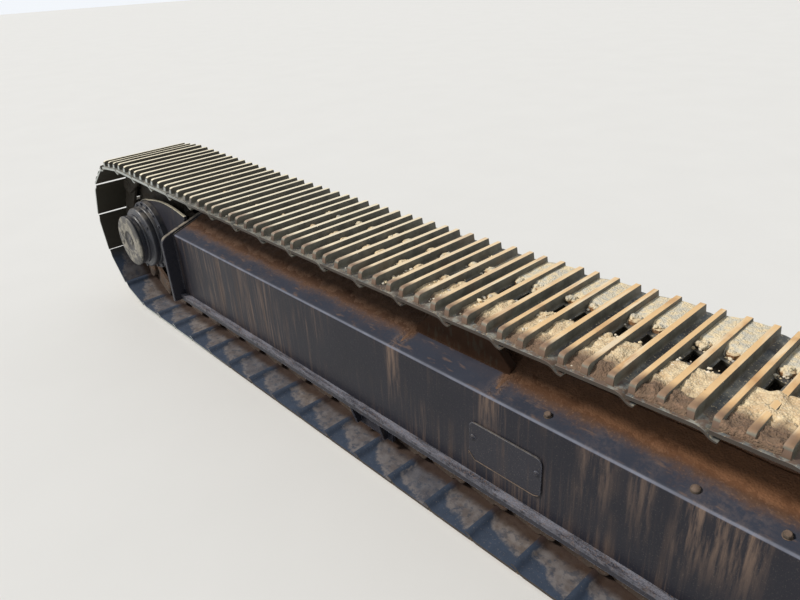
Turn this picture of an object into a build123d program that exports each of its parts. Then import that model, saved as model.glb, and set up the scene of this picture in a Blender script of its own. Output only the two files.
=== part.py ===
from build123d import *
import math
import os

# Crawler track unit of a mobile crushing plant.
# X runs along the track from the drive end (low) to the idler end (high).
# Y runs across it, with the outer side low and the chassis side high. Z is up from the ground.
# The origin is on the ground, midway between the two wheels and in the middle of the overall width.

# Track chain
link_pitch = 175.0
links_in_chain = 51
chain_phase = 85.0  # where the chain's first pin stands from the middle of the upper run
face_to_pin = 46.0
link_height = 88.0
link_thickness = 17.1
link_gauge = 60.25
link_skew = 20.5
link_pad_length = 102.0
link_end_reach = 36.0
rail_end_reach = 16.0
bushing_radius = 26.0

# Track shoes
shoe_width = 450.0
shoe_plate = 9.0
grouser_height = 26.0
grouser_spacing = 62.5
grouser_top = 12.0
grouser_foot = 4.0
shoe_gap = 1.8
lip_root = 20.0
lip_drop = 12.0
lip_reach = 11.0

# Drive
sprocket_teeth = 23
sprocket_thickness = 44.0
tooth_height = 12.0
seat_half_angle = 3.0
tip_half_angle = 1.2
drive_bore_radius = 118.0

# Slide rails on the roof, and how the upper run falls and sags from the wheels to them
rail_from_drive = 2090.0
rail_length = 370.0
rail_end_chamfer = 90.0
run_fall = 22.9
run_sag = 8.1

# Frame
frame_half_width = 165.0
wall = 10.0
fold_z = 518.0
fold_radius = 14.0
roof_slope = 18.0
flange_reach = 25.0
flange_bend_radius = 18.0
sole_z = 196.0
sole_thickness = 16.0
sole_inner = 100.0
end_plate_clearance = 55.0
end_plate_thickness = 20.0
end_plate_half_width = 225.0
end_plate_step = 13.0
end_plate_corner = 30.0
idler_end_clearance = 42.0

# Rollers
roller_radius = 70.0
roller_flange_radius = 84.0
roller_half_length = 96.0
roller_count = 7
roller_pitch = 390.0
roller_end_gap = 12.0
seat_clearance = 0.3

# How far the chassis side stands out from the chain's middle
inner_reach = 285.0

os.makedirs("parts", exist_ok=True)

# Places that follow from the sizes above
chain_y = (shoe_width / 2 - inner_reach) / 2
pitch_angle = 360.0 / (sprocket_teeth / 2)
pitch_radius = link_pitch / 2 / math.sin(math.radians(pitch_angle / 2))
axis_z = grouser_height + face_to_pin + pitch_radius
rail_drop = link_height - face_to_pin
rail_flat = rail_length - 2 * rail_end_chamfer
contact_start = rail_from_drive - rail_flat / 2
contact_end = rail_from_drive + rail_flat / 2
rail_radius = pitch_radius * math.cos(math.radians(pitch_angle / 2)) - rail_drop
lower_rail_z = grouser_height + link_height
sole_top = sole_z + sole_thickness
rise = math.tan(math.radians(roof_slope))
ridge_z = fold_z + frame_half_width * rise


def side_plane(offset):
    """A plane facing the outer side, offset across the track from the chain's middle."""
    return Plane(origin=(0, chain_y + offset, 0), x_dir=(1, 0, 0), z_dir=(0, -1, 0))


def cross_plane(x):
    """A plane across the track at x, looking along it, with X across and Y up."""
    return Plane(origin=(x, chain_y, 0), x_dir=(0, 1, 0), z_dir=(1, 0, 0))


def upper_drop(x, half_length):
    """How far the upper run hangs below the line over both wheels at x."""
    along = x + half_length
    if contact_start <= along <= contact_end:
        return run_fall
    if along < contact_start:
        span = contact_start
        share = along / span
    else:
        span = 2 * half_length - contact_end
        share = (2 * half_length - along) / span
    sag = run_sag * (span / contact_start) ** 2
    return run_fall * share + 4 * sag * share * (1 - share)


def chain_point(travel, half_length):
    """The pin path: upper run, idler, lower run, sprocket. Travel is from the sprocket's top."""
    run = 2 * half_length
    bend = math.pi * pitch_radius
    travel = travel % (2 * run + 2 * bend)
    if travel < run:
        x = travel - half_length
        return x, axis_z + pitch_radius - upper_drop(x, half_length)
    travel -= run
    if travel < bend:
        angle = travel / pitch_radius
        return half_length + pitch_radius * math.sin(angle), axis_z + pitch_radius * math.cos(angle)
    travel -= bend
    if travel < run:
        return half_length - travel, axis_z - pitch_radius
    angle = (travel - run) / pitch_radius
    return -half_length - pitch_radius * math.sin(angle), axis_z - pitch_radius * math.cos(angle)


def next_pin(travel, half_length):
    """The travel at which the next pin lies exactly one link pitch away."""
    x, z = chain_point(travel, half_length)
    low, high = travel + 0.9 * link_pitch, travel + 1.2 * link_pitch
    for _ in range(40):
        middle = (low + high) / 2
        next_x, next_z = chain_point(middle, half_length)
        if math.hypot(next_x - x, next_z - z) < link_pitch:
            low = middle
        else:
            high = middle
    return low


def pin_travels(half_length):
    """Every pin's travel, from the first pin to the same pin again."""
    travels = [half_length + chain_phase]
    for _ in range(links_in_chain):
        travels.append(next_pin(travels[-1], half_length))
    return travels


def closing_half_length():
    """Half the wheel centre distance at which the chain closes on itself."""
    low, high = 0.3 * links_in_chain * link_pitch / 2, 0.5 * links_in_chain * link_pitch
    for _ in range(40):
        middle = (low + high) / 2
        travels = pin_travels(middle)
        if travels[-1] - travels[0] > 4 * middle + 2 * math.pi * pitch_radius:
            low = middle
        else:
            high = middle
    return low


def path_turn(travel, half_length):
    """The direction of the pin path in degrees, as its tangent at a pin."""
    x, z = chain_point(travel - 1, half_length)
    next_x, next_z = chain_point(travel + 1, half_length)
    return math.degrees(math.atan2(next_z - z, next_x - x))


def link_place(start, end):
    """Middle of a link, with X along it and Z pointing out of the loop."""
    angle = math.degrees(math.atan2(end[1] - start[1], end[0] - start[0]))
    middle = ((start[0] + end[0]) / 2, chain_y, (start[1] + end[1]) / 2)
    return Location(middle, (0, -angle, 0))


half_length = closing_half_length()
travels = pin_travels(half_length)
pins = [chain_point(travel, half_length) for travel in travels]
link_places = [link_place(pins[i], pins[i + 1]) for i in range(links_in_chain)]

# Track shoes: leading bar on the plate's edge, two more bars, then the lip under the next shoe
half_pitch = link_pitch / 2
shoe_start = -half_pitch + shoe_gap
shoe_outline = [(shoe_start, 0)]
for i in range(3):
    bar_start = shoe_start + i * grouser_spacing
    if i > 0:
        shoe_outline.append((bar_start - grouser_foot, shoe_plate))
    shoe_outline += [
        (bar_start, grouser_height),
        (bar_start + grouser_top, grouser_height),
        (bar_start + grouser_top + grouser_foot, shoe_plate),
    ]
shoe_outline += [
    (half_pitch + 1, 0),
    (half_pitch + lip_reach, -lip_drop),
    (half_pitch - lip_root, 0),
]
with BuildPart() as shoe:
    with BuildSketch(Plane.XZ):
        with BuildLine():
            Polyline(*[(x, z + face_to_pin) for x, z in shoe_outline], close=True)
        make_face()
    extrude(amount=shoe_width / 2, both=True)

with BuildPart() as track_shoes:
    with Locations(*link_places):
        add(shoe.part)
track_shoes.part.label = "track_shoes"
export_step(track_shoes.part, "parts/track_shoes.step")

# Links: each runs slantwise, so its pin end lies outside the next link's bushing end
link_outline = [
    (-link_pad_length / 2, face_to_pin),
    (link_pad_length / 2, face_to_pin),
    (half_pitch + link_end_reach, 0),
    (half_pitch + rail_end_reach, -rail_drop),
    (-half_pitch - rail_end_reach, -rail_drop),
    (-half_pitch - link_end_reach, 0),
]
for name, side in (("track_links_outer", -1), ("track_links_inner", 1)):
    slant = Plane(
        origin=(0, side * link_gauge, 0),
        x_dir=(link_pitch, -side * link_skew, 0),
        z_dir=(-side * link_skew, -link_pitch, 0),
    )
    stretch = slant.x_dir.X
    with BuildPart() as link:
        with BuildSketch(slant):
            with BuildLine():
                Polyline(*[(x / stretch, z) for x, z in link_outline], close=True)
            make_face()
        extrude(amount=link_thickness / 2, dir=(0, 1, 0), both=True)
    with BuildPart() as track_links:
        with Locations(*link_places):
            add(link.part)
    track_links.part.label = name
    export_step(track_links.part, f"parts/{name}.step")

# Bushings: six-sided here, with a flat side towards the wheel
bushing_half_length = (
    link_gauge - link_skew / 2 - link_thickness / 2
    - bushing_radius * link_skew / link_pitch - seat_clearance
)
bushing_flat = bushing_radius * math.cos(math.radians(30))
with BuildPart() as track_bushings:
    for travel, (x, z) in zip(travels[:-1], pins):
        with BuildSketch(Plane(origin=(x, chain_y, z), x_dir=(1, 0, 0), z_dir=(0, -1, 0))):
            RegularPolygon(bushing_radius, 6, rotation=path_turn(travel, half_length))
        extrude(amount=bushing_half_length, both=True)
track_bushings.part.label = "track_bushings"
export_step(track_bushings.part, "parts/track_bushings.step")

# Sprocket: a seat for a bushing between every two teeth, with one bushing in every second seat
tooth_angle = 360.0 / sprocket_teeth
root_radius = pitch_radius - bushing_flat - seat_clearance
tip_radius = pitch_radius + tooth_height
seated_pin = min(pins, key=lambda pin: pin[0])
first_seat = math.degrees(math.atan2(seated_pin[1] - axis_z, seated_pin[0] + half_length))
tooth_outline = []
for i in range(sprocket_teeth):
    seat = first_seat + i * tooth_angle
    for radius, angle in (
        (root_radius, seat - seat_half_angle),
        (root_radius, seat + seat_half_angle),
        (tip_radius, seat + tooth_angle / 2 - tip_half_angle),
        (tip_radius, seat + tooth_angle / 2 + tip_half_angle),
    ):
        turn = math.radians(angle)
        tooth_outline.append((radius * math.cos(turn), radius * math.sin(turn)))
drive_axis = Plane(origin=(-half_length, chain_y, axis_z), x_dir=(1, 0, 0), z_dir=(0, -1, 0))
with BuildPart() as sprocket:
    with BuildSketch(drive_axis):
        with BuildLine():
            Polyline(*tooth_outline, close=True)
        make_face()
        Circle(drive_bore_radius, mode=Mode.SUBTRACT)
    extrude(amount=sprocket_thickness / 2, both=True)
sprocket.part.label = "sprocket"
export_step(sprocket.part, "parts/sprocket.step")


def turned(outline, plane):
    """Revolve a half section of (radius, distance out along the plane's normal) about it."""
    section = Plane(origin=plane.origin, x_dir=plane.x_dir, z_dir=-plane.y_dir)
    with BuildPart() as body:
        with BuildSketch(section):
            with BuildLine():
                Polyline(*outline, close=True)
            make_face()
        revolve(axis=Axis(plane.origin, plane.z_dir))
    return body.part


# Cheeks: round-ended plates beside the sprocket that reach from the end plate round the drive
cheek_radius = 180.0
cheek_thickness = 14.0
cheek_inner = 76.0
cheek_outer = cheek_inner + cheek_thickness
cheek_bore_clearance = 4.0
motor_bore_radius = 98.0
end_plate_x = -half_length + tip_radius + end_plate_clearance
for name, side, bore in (
    ("cheek_outer", -1, drive_bore_radius + cheek_bore_clearance),
    ("cheek_inner", 1, motor_bore_radius),
):
    with BuildPart() as cheek:
        with BuildSketch(side_plane(side * (cheek_inner + cheek_thickness / 2))):
            with Locations((-half_length, axis_z)):
                Circle(cheek_radius)
            with Locations(((end_plate_x - half_length) / 2, axis_z)):
                Rectangle(end_plate_x + half_length, 2 * cheek_radius)
            with Locations((-half_length, axis_z)):
                Circle(bore, mode=Mode.SUBTRACT)
        extrude(amount=cheek_thickness / 2, both=True)
    cheek.part.label = name
    export_step(cheek.part, f"parts/{name}.step")

# Final drive: hub in the sprocket, flange bolted on the outer cheek, stepped drum, end cover
hub_radius = drive_bore_radius - seat_clearance
hub_end = -cheek_inner + 4
hub_rim_radius = 150.0
hub_rim_thickness = 20.0
drive_flange_radius = 174.0
drive_flange_thickness = 26.0
drum_radius = 152.0
drum_length = 50.0
drum_bevel = 5.0
neck_radius = 123.0
cover_radius = 127.0
cover_face = shoe_width / 2 - 2
cover_thickness = 16.0
sprocket_face = sprocket_thickness / 2
drive_flange_start = cheek_outer + seat_clearance
drive_flange_end = drive_flange_start + drive_flange_thickness
drum_end = drive_flange_end + drum_length
drum = [
    (0, hub_end),
    (hub_radius, hub_end),
    (hub_radius, sprocket_face),
    (hub_rim_radius, sprocket_face),
    (hub_rim_radius, sprocket_face + hub_rim_thickness),
    (hub_radius, sprocket_face + hub_rim_thickness),
    (hub_radius, drive_flange_start),
    (drive_flange_radius, drive_flange_start),
    (drive_flange_radius, drive_flange_end),
    (drum_radius, drive_flange_end),
    (drum_radius, drum_end - drum_bevel),
    (drum_radius - drum_bevel, drum_end),
    (neck_radius, drum_end),
    (neck_radius, cover_face - cover_thickness),
    (0, cover_face - cover_thickness),
]
with BuildPart() as final_drive_housing:
    add(turned(drum, drive_axis))
final_drive_housing.part.label = "final_drive_housing"
export_step(final_drive_housing.part, "parts/final_drive_housing.step")

cover_bevel = 5.0
recess_radius = 50.0
recess_depth = 8.0
plug_radius = 20.0
plug_step = 4.0
cover = [
    (0, cover_face - cover_thickness),
    (cover_radius, cover_face - cover_thickness),
    (cover_radius, cover_face - cover_bevel),
    (cover_radius - cover_bevel, cover_face),
    (recess_radius, cover_face),
    (recess_radius - recess_depth / 2, cover_face - recess_depth),
    (plug_radius, cover_face - recess_depth),
    (plug_radius, cover_face - recess_depth + plug_step),
    (0, cover_face - recess_depth + plug_step),
]
with BuildPart() as final_drive_cover:
    add(turned(cover, drive_axis))
final_drive_cover.part.label = "final_drive_cover"
export_step(final_drive_cover.part, "parts/final_drive_cover.step")

# Travel motor: its nose passes the inner cheek, its flange is bolted on that cheek
motor_nose_radius = motor_bore_radius - 2
motor_flange_radius = 124.0
motor_flange_thickness = 20.0
motor_body_radius = 100.0
motor_cap_radius = 80.0
motor_cap_length = 55.0
motor_shoulder = 16.0
motor_flange_start = -cheek_outer - seat_clearance
motor_flange_end = motor_flange_start - motor_flange_thickness
motor = [
    (0, hub_end - seat_clearance),
    (motor_nose_radius, hub_end - seat_clearance),
    (motor_nose_radius, motor_flange_start),
    (motor_flange_radius, motor_flange_start),
    (motor_flange_radius, motor_flange_end),
    (motor_body_radius, motor_flange_end),
    (motor_body_radius, -inner_reach + motor_cap_length + motor_shoulder),
    (motor_cap_radius, -inner_reach + motor_cap_length),
    (motor_cap_radius, -inner_reach),
    (0, -inner_reach),
]
with BuildPart() as travel_motor:
    add(turned(motor, drive_axis))
travel_motor.part.label = "travel_motor"
export_step(travel_motor.part, "parts/travel_motor.step")

# Idler: centre flange between the two rows of links, with a tread under each row
idler_tread = rail_radius - seat_clearance
idler_flange_rise = 18.0
idler_flange_radius = idler_tread + idler_flange_rise
idler_tread_half_width = 80.0
idler_rim_depth = 22.0
idler_flange_foot = 32.0
idler_flange_top = 26.0
idler_hub_radius = 72.0
idler_hub_half_length = 84.0
idler_web_foot = 40.0
idler_web_top = 34.0
axle_radius = 40.0
idler_half = [
    (axle_radius, idler_hub_half_length),
    (idler_hub_radius, idler_hub_half_length),
    (idler_hub_radius + 8, idler_web_foot),
    (idler_tread - 3 * idler_rim_depth, idler_web_top),
    (idler_tread - idler_rim_depth, idler_tread_half_width),
    (idler_tread, idler_tread_half_width),
    (idler_tread, idler_flange_foot),
    (idler_flange_radius, idler_flange_top),
]
idler_outline = idler_half + [(radius, -across) for radius, across in reversed(idler_half)]
idler_axis = Plane(origin=(half_length, chain_y, axis_z), x_dir=(1, 0, 0), z_dir=(0, -1, 0))
with BuildPart() as idler:
    add(turned(idler_outline, idler_axis))
idler.part.label = "idler"
export_step(idler.part, "parts/idler.step")

# Yoke, its slides and its bearing blocks, laid out across the track from the idler's hub
yoke_arm_gap = 3.0
yoke_arm_thickness = 12.0
yoke_arm_inner = idler_hub_half_length + yoke_arm_gap
yoke_half_width = yoke_arm_inner + yoke_arm_thickness
yoke_half_height = 45.0
slide_gap = 7.0
slide_inner = yoke_half_width + slide_gap
slide_thickness = 18.0
slide_outer = slide_inner + slide_thickness
block_proud = 5.0
block_outer = slide_outer + block_proud
block_thickness = block_outer - yoke_half_width
axle_proud = 5.0

with BuildPart() as idler_axle:
    with BuildSketch(idler_axis):
        Circle(axle_radius - seat_clearance)
    extrude(amount=block_outer + axle_proud, both=True)
idler_axle.part.label = "idler_axle"
export_step(idler_axle.part, "parts/idler_axle.step")

# Frame box: a plate folded to a gable roof, two walls and two out-turned flanges, open below
box_start = end_plate_x + end_plate_thickness
box_end = half_length - idler_flange_radius - idler_end_clearance
wall_inner = frame_half_width - wall
roof_inner_z = ridge_z - wall / math.cos(math.radians(roof_slope))
flange_outer = frame_half_width + flange_reach
flange_top = sole_top + wall
box_right = [
    (frame_half_width, fold_z),
    (frame_half_width, flange_top),
    (flange_outer, flange_top),
    (flange_outer, sole_top),
    (wall_inner, sole_top),
    (wall_inner, roof_inner_z - wall_inner * rise),
]
box_left = [(-across, z) for across, z in reversed(box_right)]
with BuildPart() as frame_box:
    with BuildSketch(cross_plane(box_start)) as box_section:
        with BuildLine():
            Polyline((0, ridge_z), *box_right, (0, roof_inner_z), *box_left, close=True)
        make_face()
        folds = [v for v in box_section.vertices() if abs(v.Y - fold_z) < wall and abs(v.X) > wall_inner + 1]
        bends = [v for v in box_section.vertices() if abs(v.Y - flange_top) < 1 and abs(v.X) < frame_half_width + 1]
        fillet(folds, radius=fold_radius)
        fillet(bends, radius=flange_bend_radius)
    extrude(amount=box_end - box_start)
frame_box.part.label = "frame_box"
export_step(frame_box.part, "parts/frame_box.step")

# Sole plates under the flanges, which the rollers bolt to
for name, side in (("sole_plate_outer", -1), ("sole_plate_inner", 1)):
    with BuildPart() as sole_plate:
        with BuildSketch(Plane.XY.offset(sole_z)):
            with Locations(((box_start + box_end) / 2, chain_y + side * (flange_outer + sole_inner) / 2)):
                Rectangle(box_end - box_start, flange_outer - sole_inner)
        extrude(amount=sole_thickness)
    sole_plate.part.label = name
    export_step(sole_plate.part, f"parts/{name}.step")

# End plate across the drive end of the box, wider and a little higher than the box
plate_edge_z = ridge_z + end_plate_step - end_plate_half_width * rise
with BuildPart() as end_plate:
    with BuildSketch(cross_plane(end_plate_x)) as plate_section:
        with BuildLine():
            Polyline(
                (-end_plate_half_width, sole_z),
                (-end_plate_half_width, plate_edge_z),
                (0, ridge_z + end_plate_step),
                (end_plate_half_width, plate_edge_z),
                (end_plate_half_width, sole_z),
                close=True,
            )
        make_face()
        fillet(plate_section.vertices().group_by(Axis.Y)[1], radius=end_plate_corner)
    extrude(amount=end_plate_thickness)
end_plate.part.label = "end_plate"
export_step(end_plate.part, "parts/end_plate.step")

# Bottom rollers and the collars that hang them from the sole plates
roller_z = lower_rail_z + roller_radius
last_roller = box_end - roller_flange_radius - roller_end_gap
roller_stations = [last_roller - i * roller_pitch for i in range(roller_count)]
roller_groove = 10.0
roller_groove_half_width = 30.0
roller_tread_inner = 36.0
roller_tread_outer = 84.0
roller_flange_foot = 3.0
roller_half = [
    (roller_radius - roller_groove, roller_groove_half_width),
    (roller_radius, roller_tread_inner),
    (roller_radius, roller_tread_outer),
    (roller_flange_radius, roller_tread_outer + roller_flange_foot),
    (roller_flange_radius, roller_half_length),
]
roller_outline = [(0, -roller_half_length)] + [(r, -a) for r, a in reversed(roller_half)]
roller_outline += roller_half + [(0, roller_half_length)]
with BuildPart() as bottom_rollers:
    for x in roller_stations:
        place = Plane(origin=(x, chain_y, roller_z), x_dir=(1, 0, 0), z_dir=(0, -1, 0))
        add(turned(roller_outline, place))
bottom_rollers.part.label = "bottom_rollers"
export_step(bottom_rollers.part, "parts/bottom_rollers.step")

collar_width = 80.0
collar_reach = 34.0
collar_corner = 12.0
collar_thickness = 40.0
collar_inner = roller_half_length + seat_clearance
collar_low_z = roller_z - collar_reach
for name, side in (("roller_collars_outer", -1), ("roller_collars_inner", 1)):
    with BuildPart() as roller_collars:
        for x in roller_stations:
            with BuildSketch(side_plane(side * (collar_inner + collar_thickness / 2))) as collar_face:
                with Locations((x, (sole_z + collar_low_z) / 2)):
                    Rectangle(collar_width, sole_z - collar_low_z)
                fillet(collar_face.vertices().group_by(Axis.Y)[0], radius=collar_corner)
            extrude(amount=collar_thickness / 2, both=True)
    roller_collars.part.label = name
    export_step(roller_collars.part, f"parts/{name}.step")

# Plate across the idler end of the box, with a window for the yoke
front_plate_thickness = 16.0
yoke_window_gap = 5.0
with BuildPart() as front_plate:
    with BuildSketch(cross_plane(box_end)):
        with BuildLine():
            Polyline(
                (-frame_half_width, sole_z),
                (-frame_half_width, fold_z),
                (0, ridge_z),
                (frame_half_width, fold_z),
                (frame_half_width, sole_z),
                close=True,
            )
        make_face()
        with Locations((0, axis_z)):
            Rectangle(
                2 * (yoke_half_width + yoke_window_gap),
                2 * (yoke_half_height + yoke_window_gap),
                mode=Mode.SUBTRACT,
            )
    extrude(amount=front_plate_thickness)
front_plate.part.label = "front_plate"
export_step(front_plate.part, "parts/front_plate.step")

# Idler slides: two side plates ahead of the box, each with a slot for a bearing block
block_half_length = 70.0
slot_half_height = 46.0
slide_half_height = 92.0
slide_beyond_block = 40.0
slot_play = 50.0
slide_start = box_end + front_plate_thickness
slide_end = half_length + block_half_length + slide_beyond_block
slot_start = half_length - block_half_length - slot_play
for name, side in (("idler_slide_outer", -1), ("idler_slide_inner", 1)):
    with BuildPart() as idler_slide:
        with BuildSketch(side_plane(side * (slide_inner + slide_thickness / 2))):
            with Locations(((slide_start + slide_end) / 2, axis_z)):
                Rectangle(slide_end - slide_start, 2 * slide_half_height)
            with Locations(((slot_start + slide_end) / 2, axis_z)):
                Rectangle(slide_end - slot_start, 2 * slot_half_height, mode=Mode.SUBTRACT)
        extrude(amount=slide_thickness / 2, both=True)
    idler_slide.part.label = name
    export_step(idler_slide.part, f"parts/{name}.step")

for name, side in (("idler_block_outer", -1), ("idler_block_inner", 1)):
    with BuildPart() as idler_block:
        with BuildSketch(side_plane(side * (yoke_half_width + block_thickness / 2))):
            with Locations((half_length, axis_z)):
                Rectangle(2 * block_half_length, 2 * (slot_half_height - seat_clearance))
                Circle(axle_radius, mode=Mode.SUBTRACT)
        extrude(amount=block_thickness / 2, both=True)
    idler_block.part.label = name
    export_step(idler_block.part, f"parts/{name}.step")

# Yoke: a crosshead with a stub towards the tensioner and an arm beside each end of the hub
yoke_rim_gap = 8.0
yoke_head_length = 60.0
yoke_stub_length = 200.0
yoke_stub_radius = 38.0
yoke_head_end = half_length - idler_flange_radius - yoke_rim_gap
yoke_arm_end = half_length + block_half_length - yoke_rim_gap
with BuildPart() as idler_yoke:
    with BuildSketch(Plane.XY.offset(axis_z)):
        with Locations((yoke_head_end - yoke_head_length / 2, chain_y)):
            Rectangle(yoke_head_length, 2 * yoke_half_width)
        for side in (-1, 1):
            arm_y = chain_y + side * (yoke_arm_inner + yoke_arm_thickness / 2)
            with Locations(((yoke_head_end + yoke_arm_end) / 2, arm_y)):
                Rectangle(yoke_arm_end - yoke_head_end, yoke_arm_thickness)
    extrude(amount=yoke_half_height, both=True)
    with BuildSketch(cross_plane(yoke_head_end - yoke_head_length)):
        with Locations((0, axis_z)):
            Circle(yoke_stub_radius)
    extrude(amount=-yoke_stub_length)
    with BuildSketch(idler_axis):
        Circle(axle_radius)
    extrude(amount=yoke_half_width, both=True, mode=Mode.SUBTRACT)
idler_yoke.part.label = "idler_yoke"
export_step(idler_yoke.part, "parts/idler_yoke.step")

# Slide rails on the roof, one under each row of links, with a sloped end each way
rail_width = 30.0
rail_top_z = axis_z + pitch_radius - run_fall - rail_drop - seat_clearance
with BuildPart() as top_rails:
    for side in (-1, 1):
        near, far = link_gauge - rail_width / 2, link_gauge + rail_width / 2
        with BuildSketch(cross_plane(rail_from_drive - half_length - rail_length / 2)):
            with BuildLine():
                Polyline(
                    (side * near, ridge_z - near * rise),
                    (side * near, rail_top_z),
                    (side * far, rail_top_z),
                    (side * far, ridge_z - far * rise),
                    close=True,
                )
            make_face()
        extrude(amount=rail_length)
    chamfer(top_rails.edges().filter_by(Axis.Y).group_by(Axis.Z)[-1], length=rail_end_chamfer)
top_rails.part.label = "top_rails_idler_end"
export_step(top_rails.part, "parts/top_rails_idler_end.step")

# Chain guide under the box, between two rollers: a plate beside each row of links, with gussets
guide_from_drive = 1692.0
guide_length = 200.0
guide_thickness = 10.0
guide_low_z = 62.0
gusset_inset = 26.0
gusset_foot = 20.0
gusset_low_step = 8.0
guide_middle = guide_from_drive - half_length
guide_outer = sole_inner + guide_thickness
for name, side in (("chain_guide_outer", -1), ("chain_guide_inner", 1)):
    with BuildPart() as chain_guide:
        with BuildSketch(side_plane(side * (sole_inner + guide_thickness / 2))):
            with Locations((guide_middle, (guide_low_z + sole_z) / 2)):
                Rectangle(guide_length, sole_z - guide_low_z)
        extrude(amount=guide_thickness / 2, both=True)
        for end in (-1, 1):
            gusset_x = guide_middle + end * (guide_length / 2 - gusset_inset)
            with BuildSketch(cross_plane(gusset_x - guide_thickness / 2)):
                with BuildLine():
                    Polyline(
                        (side * guide_outer, guide_low_z + gusset_low_step),
                        (side * (guide_outer + gusset_foot), guide_low_z + gusset_low_step),
                        (side * frame_half_width, sole_z),
                        (side * guide_outer, sole_z),
                        close=True,
                    )
                make_face()
            extrude(amount=guide_thickness)
    chain_guide.part.label = name
    export_step(chain_guide.part, f"parts/{name}.step")

# Access cover over the tensioner's grease fitting
access_from_idler = 1123.0
access_z = 345.0
access_length = 252.0
access_height = 130.0
access_corner = 22.0
access_thickness = 6.0
with BuildPart() as access_cover:
    with BuildSketch(side_plane(-frame_half_width)):
        with Locations((half_length - access_from_idler, access_z)):
            RectangleRounded(access_length, access_height, access_corner)
    extrude(amount=access_thickness)
access_cover.part.label = "access_cover"
export_step(access_cover.part, "parts/access_cover.step")

# Chassis brackets: a box from the frame's inner wall to a bolted flange past the shoes' edge
bracket_station = 760.0
bracket_width = 260.0
bracket_height = 200.0
bracket_z = 370.0
flange_thickness = 25.0
flange_width = 400.0
flange_height = 400.0
flange_corner = 20.0
bolt_spacing_x = 330.0
bolt_spacing_z = 330.0
middle_bolt_spacing_z = 110.0
bolt_hole_radius = 13.0
for name, x in (
    ("chassis_bracket_drive_end", -bracket_station),
    ("chassis_bracket_idler_end", bracket_station),
):
    inner_wall = Plane(origin=(x, chain_y + frame_half_width, bracket_z), x_dir=(-1, 0, 0), z_dir=(0, 1, 0))
    with BuildPart() as chassis_bracket:
        with BuildSketch(inner_wall):
            Rectangle(bracket_width, bracket_height)
        extrude(amount=inner_reach - frame_half_width - flange_thickness)
        with BuildSketch(inner_wall.offset(inner_reach - frame_half_width)):
            RectangleRounded(flange_width, flange_height, flange_corner)
            with GridLocations(bolt_spacing_x, bolt_spacing_z, 2, 2):
                Circle(bolt_hole_radius, mode=Mode.SUBTRACT)
            with GridLocations(bolt_spacing_x, middle_bolt_spacing_z, 2, 2):
                Circle(bolt_hole_radius, mode=Mode.SUBTRACT)
        extrude(amount=-flange_thickness)
    chassis_bracket.part.label = name
    export_step(chassis_bracket.part, f"parts/{name}.step")

print("half length", round(half_length, 2), "axis height", round(axis_z, 2), "chain middle", chain_y)
print("rollers", [round(x, 1) for x in roller_stations], "guide", round(guide_middle, 1))
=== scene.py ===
"""Looks of a crawler track unit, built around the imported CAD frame.

Lengths are in metres. X runs along the track from the drive end to the idler end, Y runs from the
outer side to the chassis side, and Z is up from the ground.
"""

import math

import bpy
import numpy as np
from bpy.props import FloatProperty, FloatVectorProperty, IntProperty, PointerProperty
from mathutils import Matrix, Vector


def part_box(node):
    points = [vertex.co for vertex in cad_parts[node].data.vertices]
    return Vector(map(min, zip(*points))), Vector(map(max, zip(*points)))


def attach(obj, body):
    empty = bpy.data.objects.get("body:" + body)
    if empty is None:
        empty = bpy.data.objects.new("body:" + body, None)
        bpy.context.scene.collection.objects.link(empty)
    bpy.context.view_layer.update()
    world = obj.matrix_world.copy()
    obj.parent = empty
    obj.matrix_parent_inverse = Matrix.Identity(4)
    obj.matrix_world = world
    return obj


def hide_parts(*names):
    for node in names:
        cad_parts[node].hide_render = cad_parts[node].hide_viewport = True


bl_info = {
    "name": "Crawler track unit",
    "version": (1, 0, 0),
    "blender": (4, 5, 0),
    "location": "3D View > Sidebar > Track unit",
    "description": "Builds the finish and fine shapes of a crawler track unit on its CAD frame",
    "category": "Add Mesh",
}

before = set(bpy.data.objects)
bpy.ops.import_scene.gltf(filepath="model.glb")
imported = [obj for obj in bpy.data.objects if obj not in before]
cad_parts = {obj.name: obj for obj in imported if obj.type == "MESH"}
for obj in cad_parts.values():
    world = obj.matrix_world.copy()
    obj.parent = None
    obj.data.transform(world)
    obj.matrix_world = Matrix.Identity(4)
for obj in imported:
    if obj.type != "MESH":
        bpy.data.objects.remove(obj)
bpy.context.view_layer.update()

# Places read from the frame
IDLER_LOW, IDLER_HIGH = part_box("idler")
HALF_LENGTH = (IDLER_LOW.x + IDLER_HIGH.x) / 2
AXIS_Z = (IDLER_LOW.z + IDLER_HIGH.z) / 2
CHAIN_Y = (IDLER_LOW.y + IDLER_HIGH.y) / 2
BOX_LOW, BOX_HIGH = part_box("frame_box")

# The chain, as it is in the CAD source
PITCH = 0.175
LINKS = 51
SPROCKET_TEETH = 23
CHAIN_PHASE = 0.085
FACE_TO_PIN = 0.046
RUN_FALL = 0.0229
RUN_SAG = 0.0081
CONTACT_START = 1.995
CONTACT_END = 2.185
LINK_GAUGE = 0.06025
LINK_SKEW = 0.0205
LINK_THICKNESS = 0.0171
BUSHING_RADIUS = 0.026
BUSHING_HALF = 0.0382
HALF_SHOE = 0.225
GROUSER_SPACING = 0.0625
SHOE_START = -PITCH / 2 + 0.0018
PLATE = 0.009
PITCH_RADIUS = PITCH / 2 / math.sin(2 * math.pi / SPROCKET_TEETH)

# A shoe: the bars' height, reach and stop at the ends, bolts past the first bar, holes past each bar
BAR_HEIGHT = 0.0355
CREST_REACH = 0.0015
BAR_STOP = 0.009
VALLEYS = (0.035, 0.0975)
HOLE_START = 0.0225
HOLE_END = 0.0475
HOLE_HALF = 0.031
HOLE_TAPER = 0.008

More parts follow.
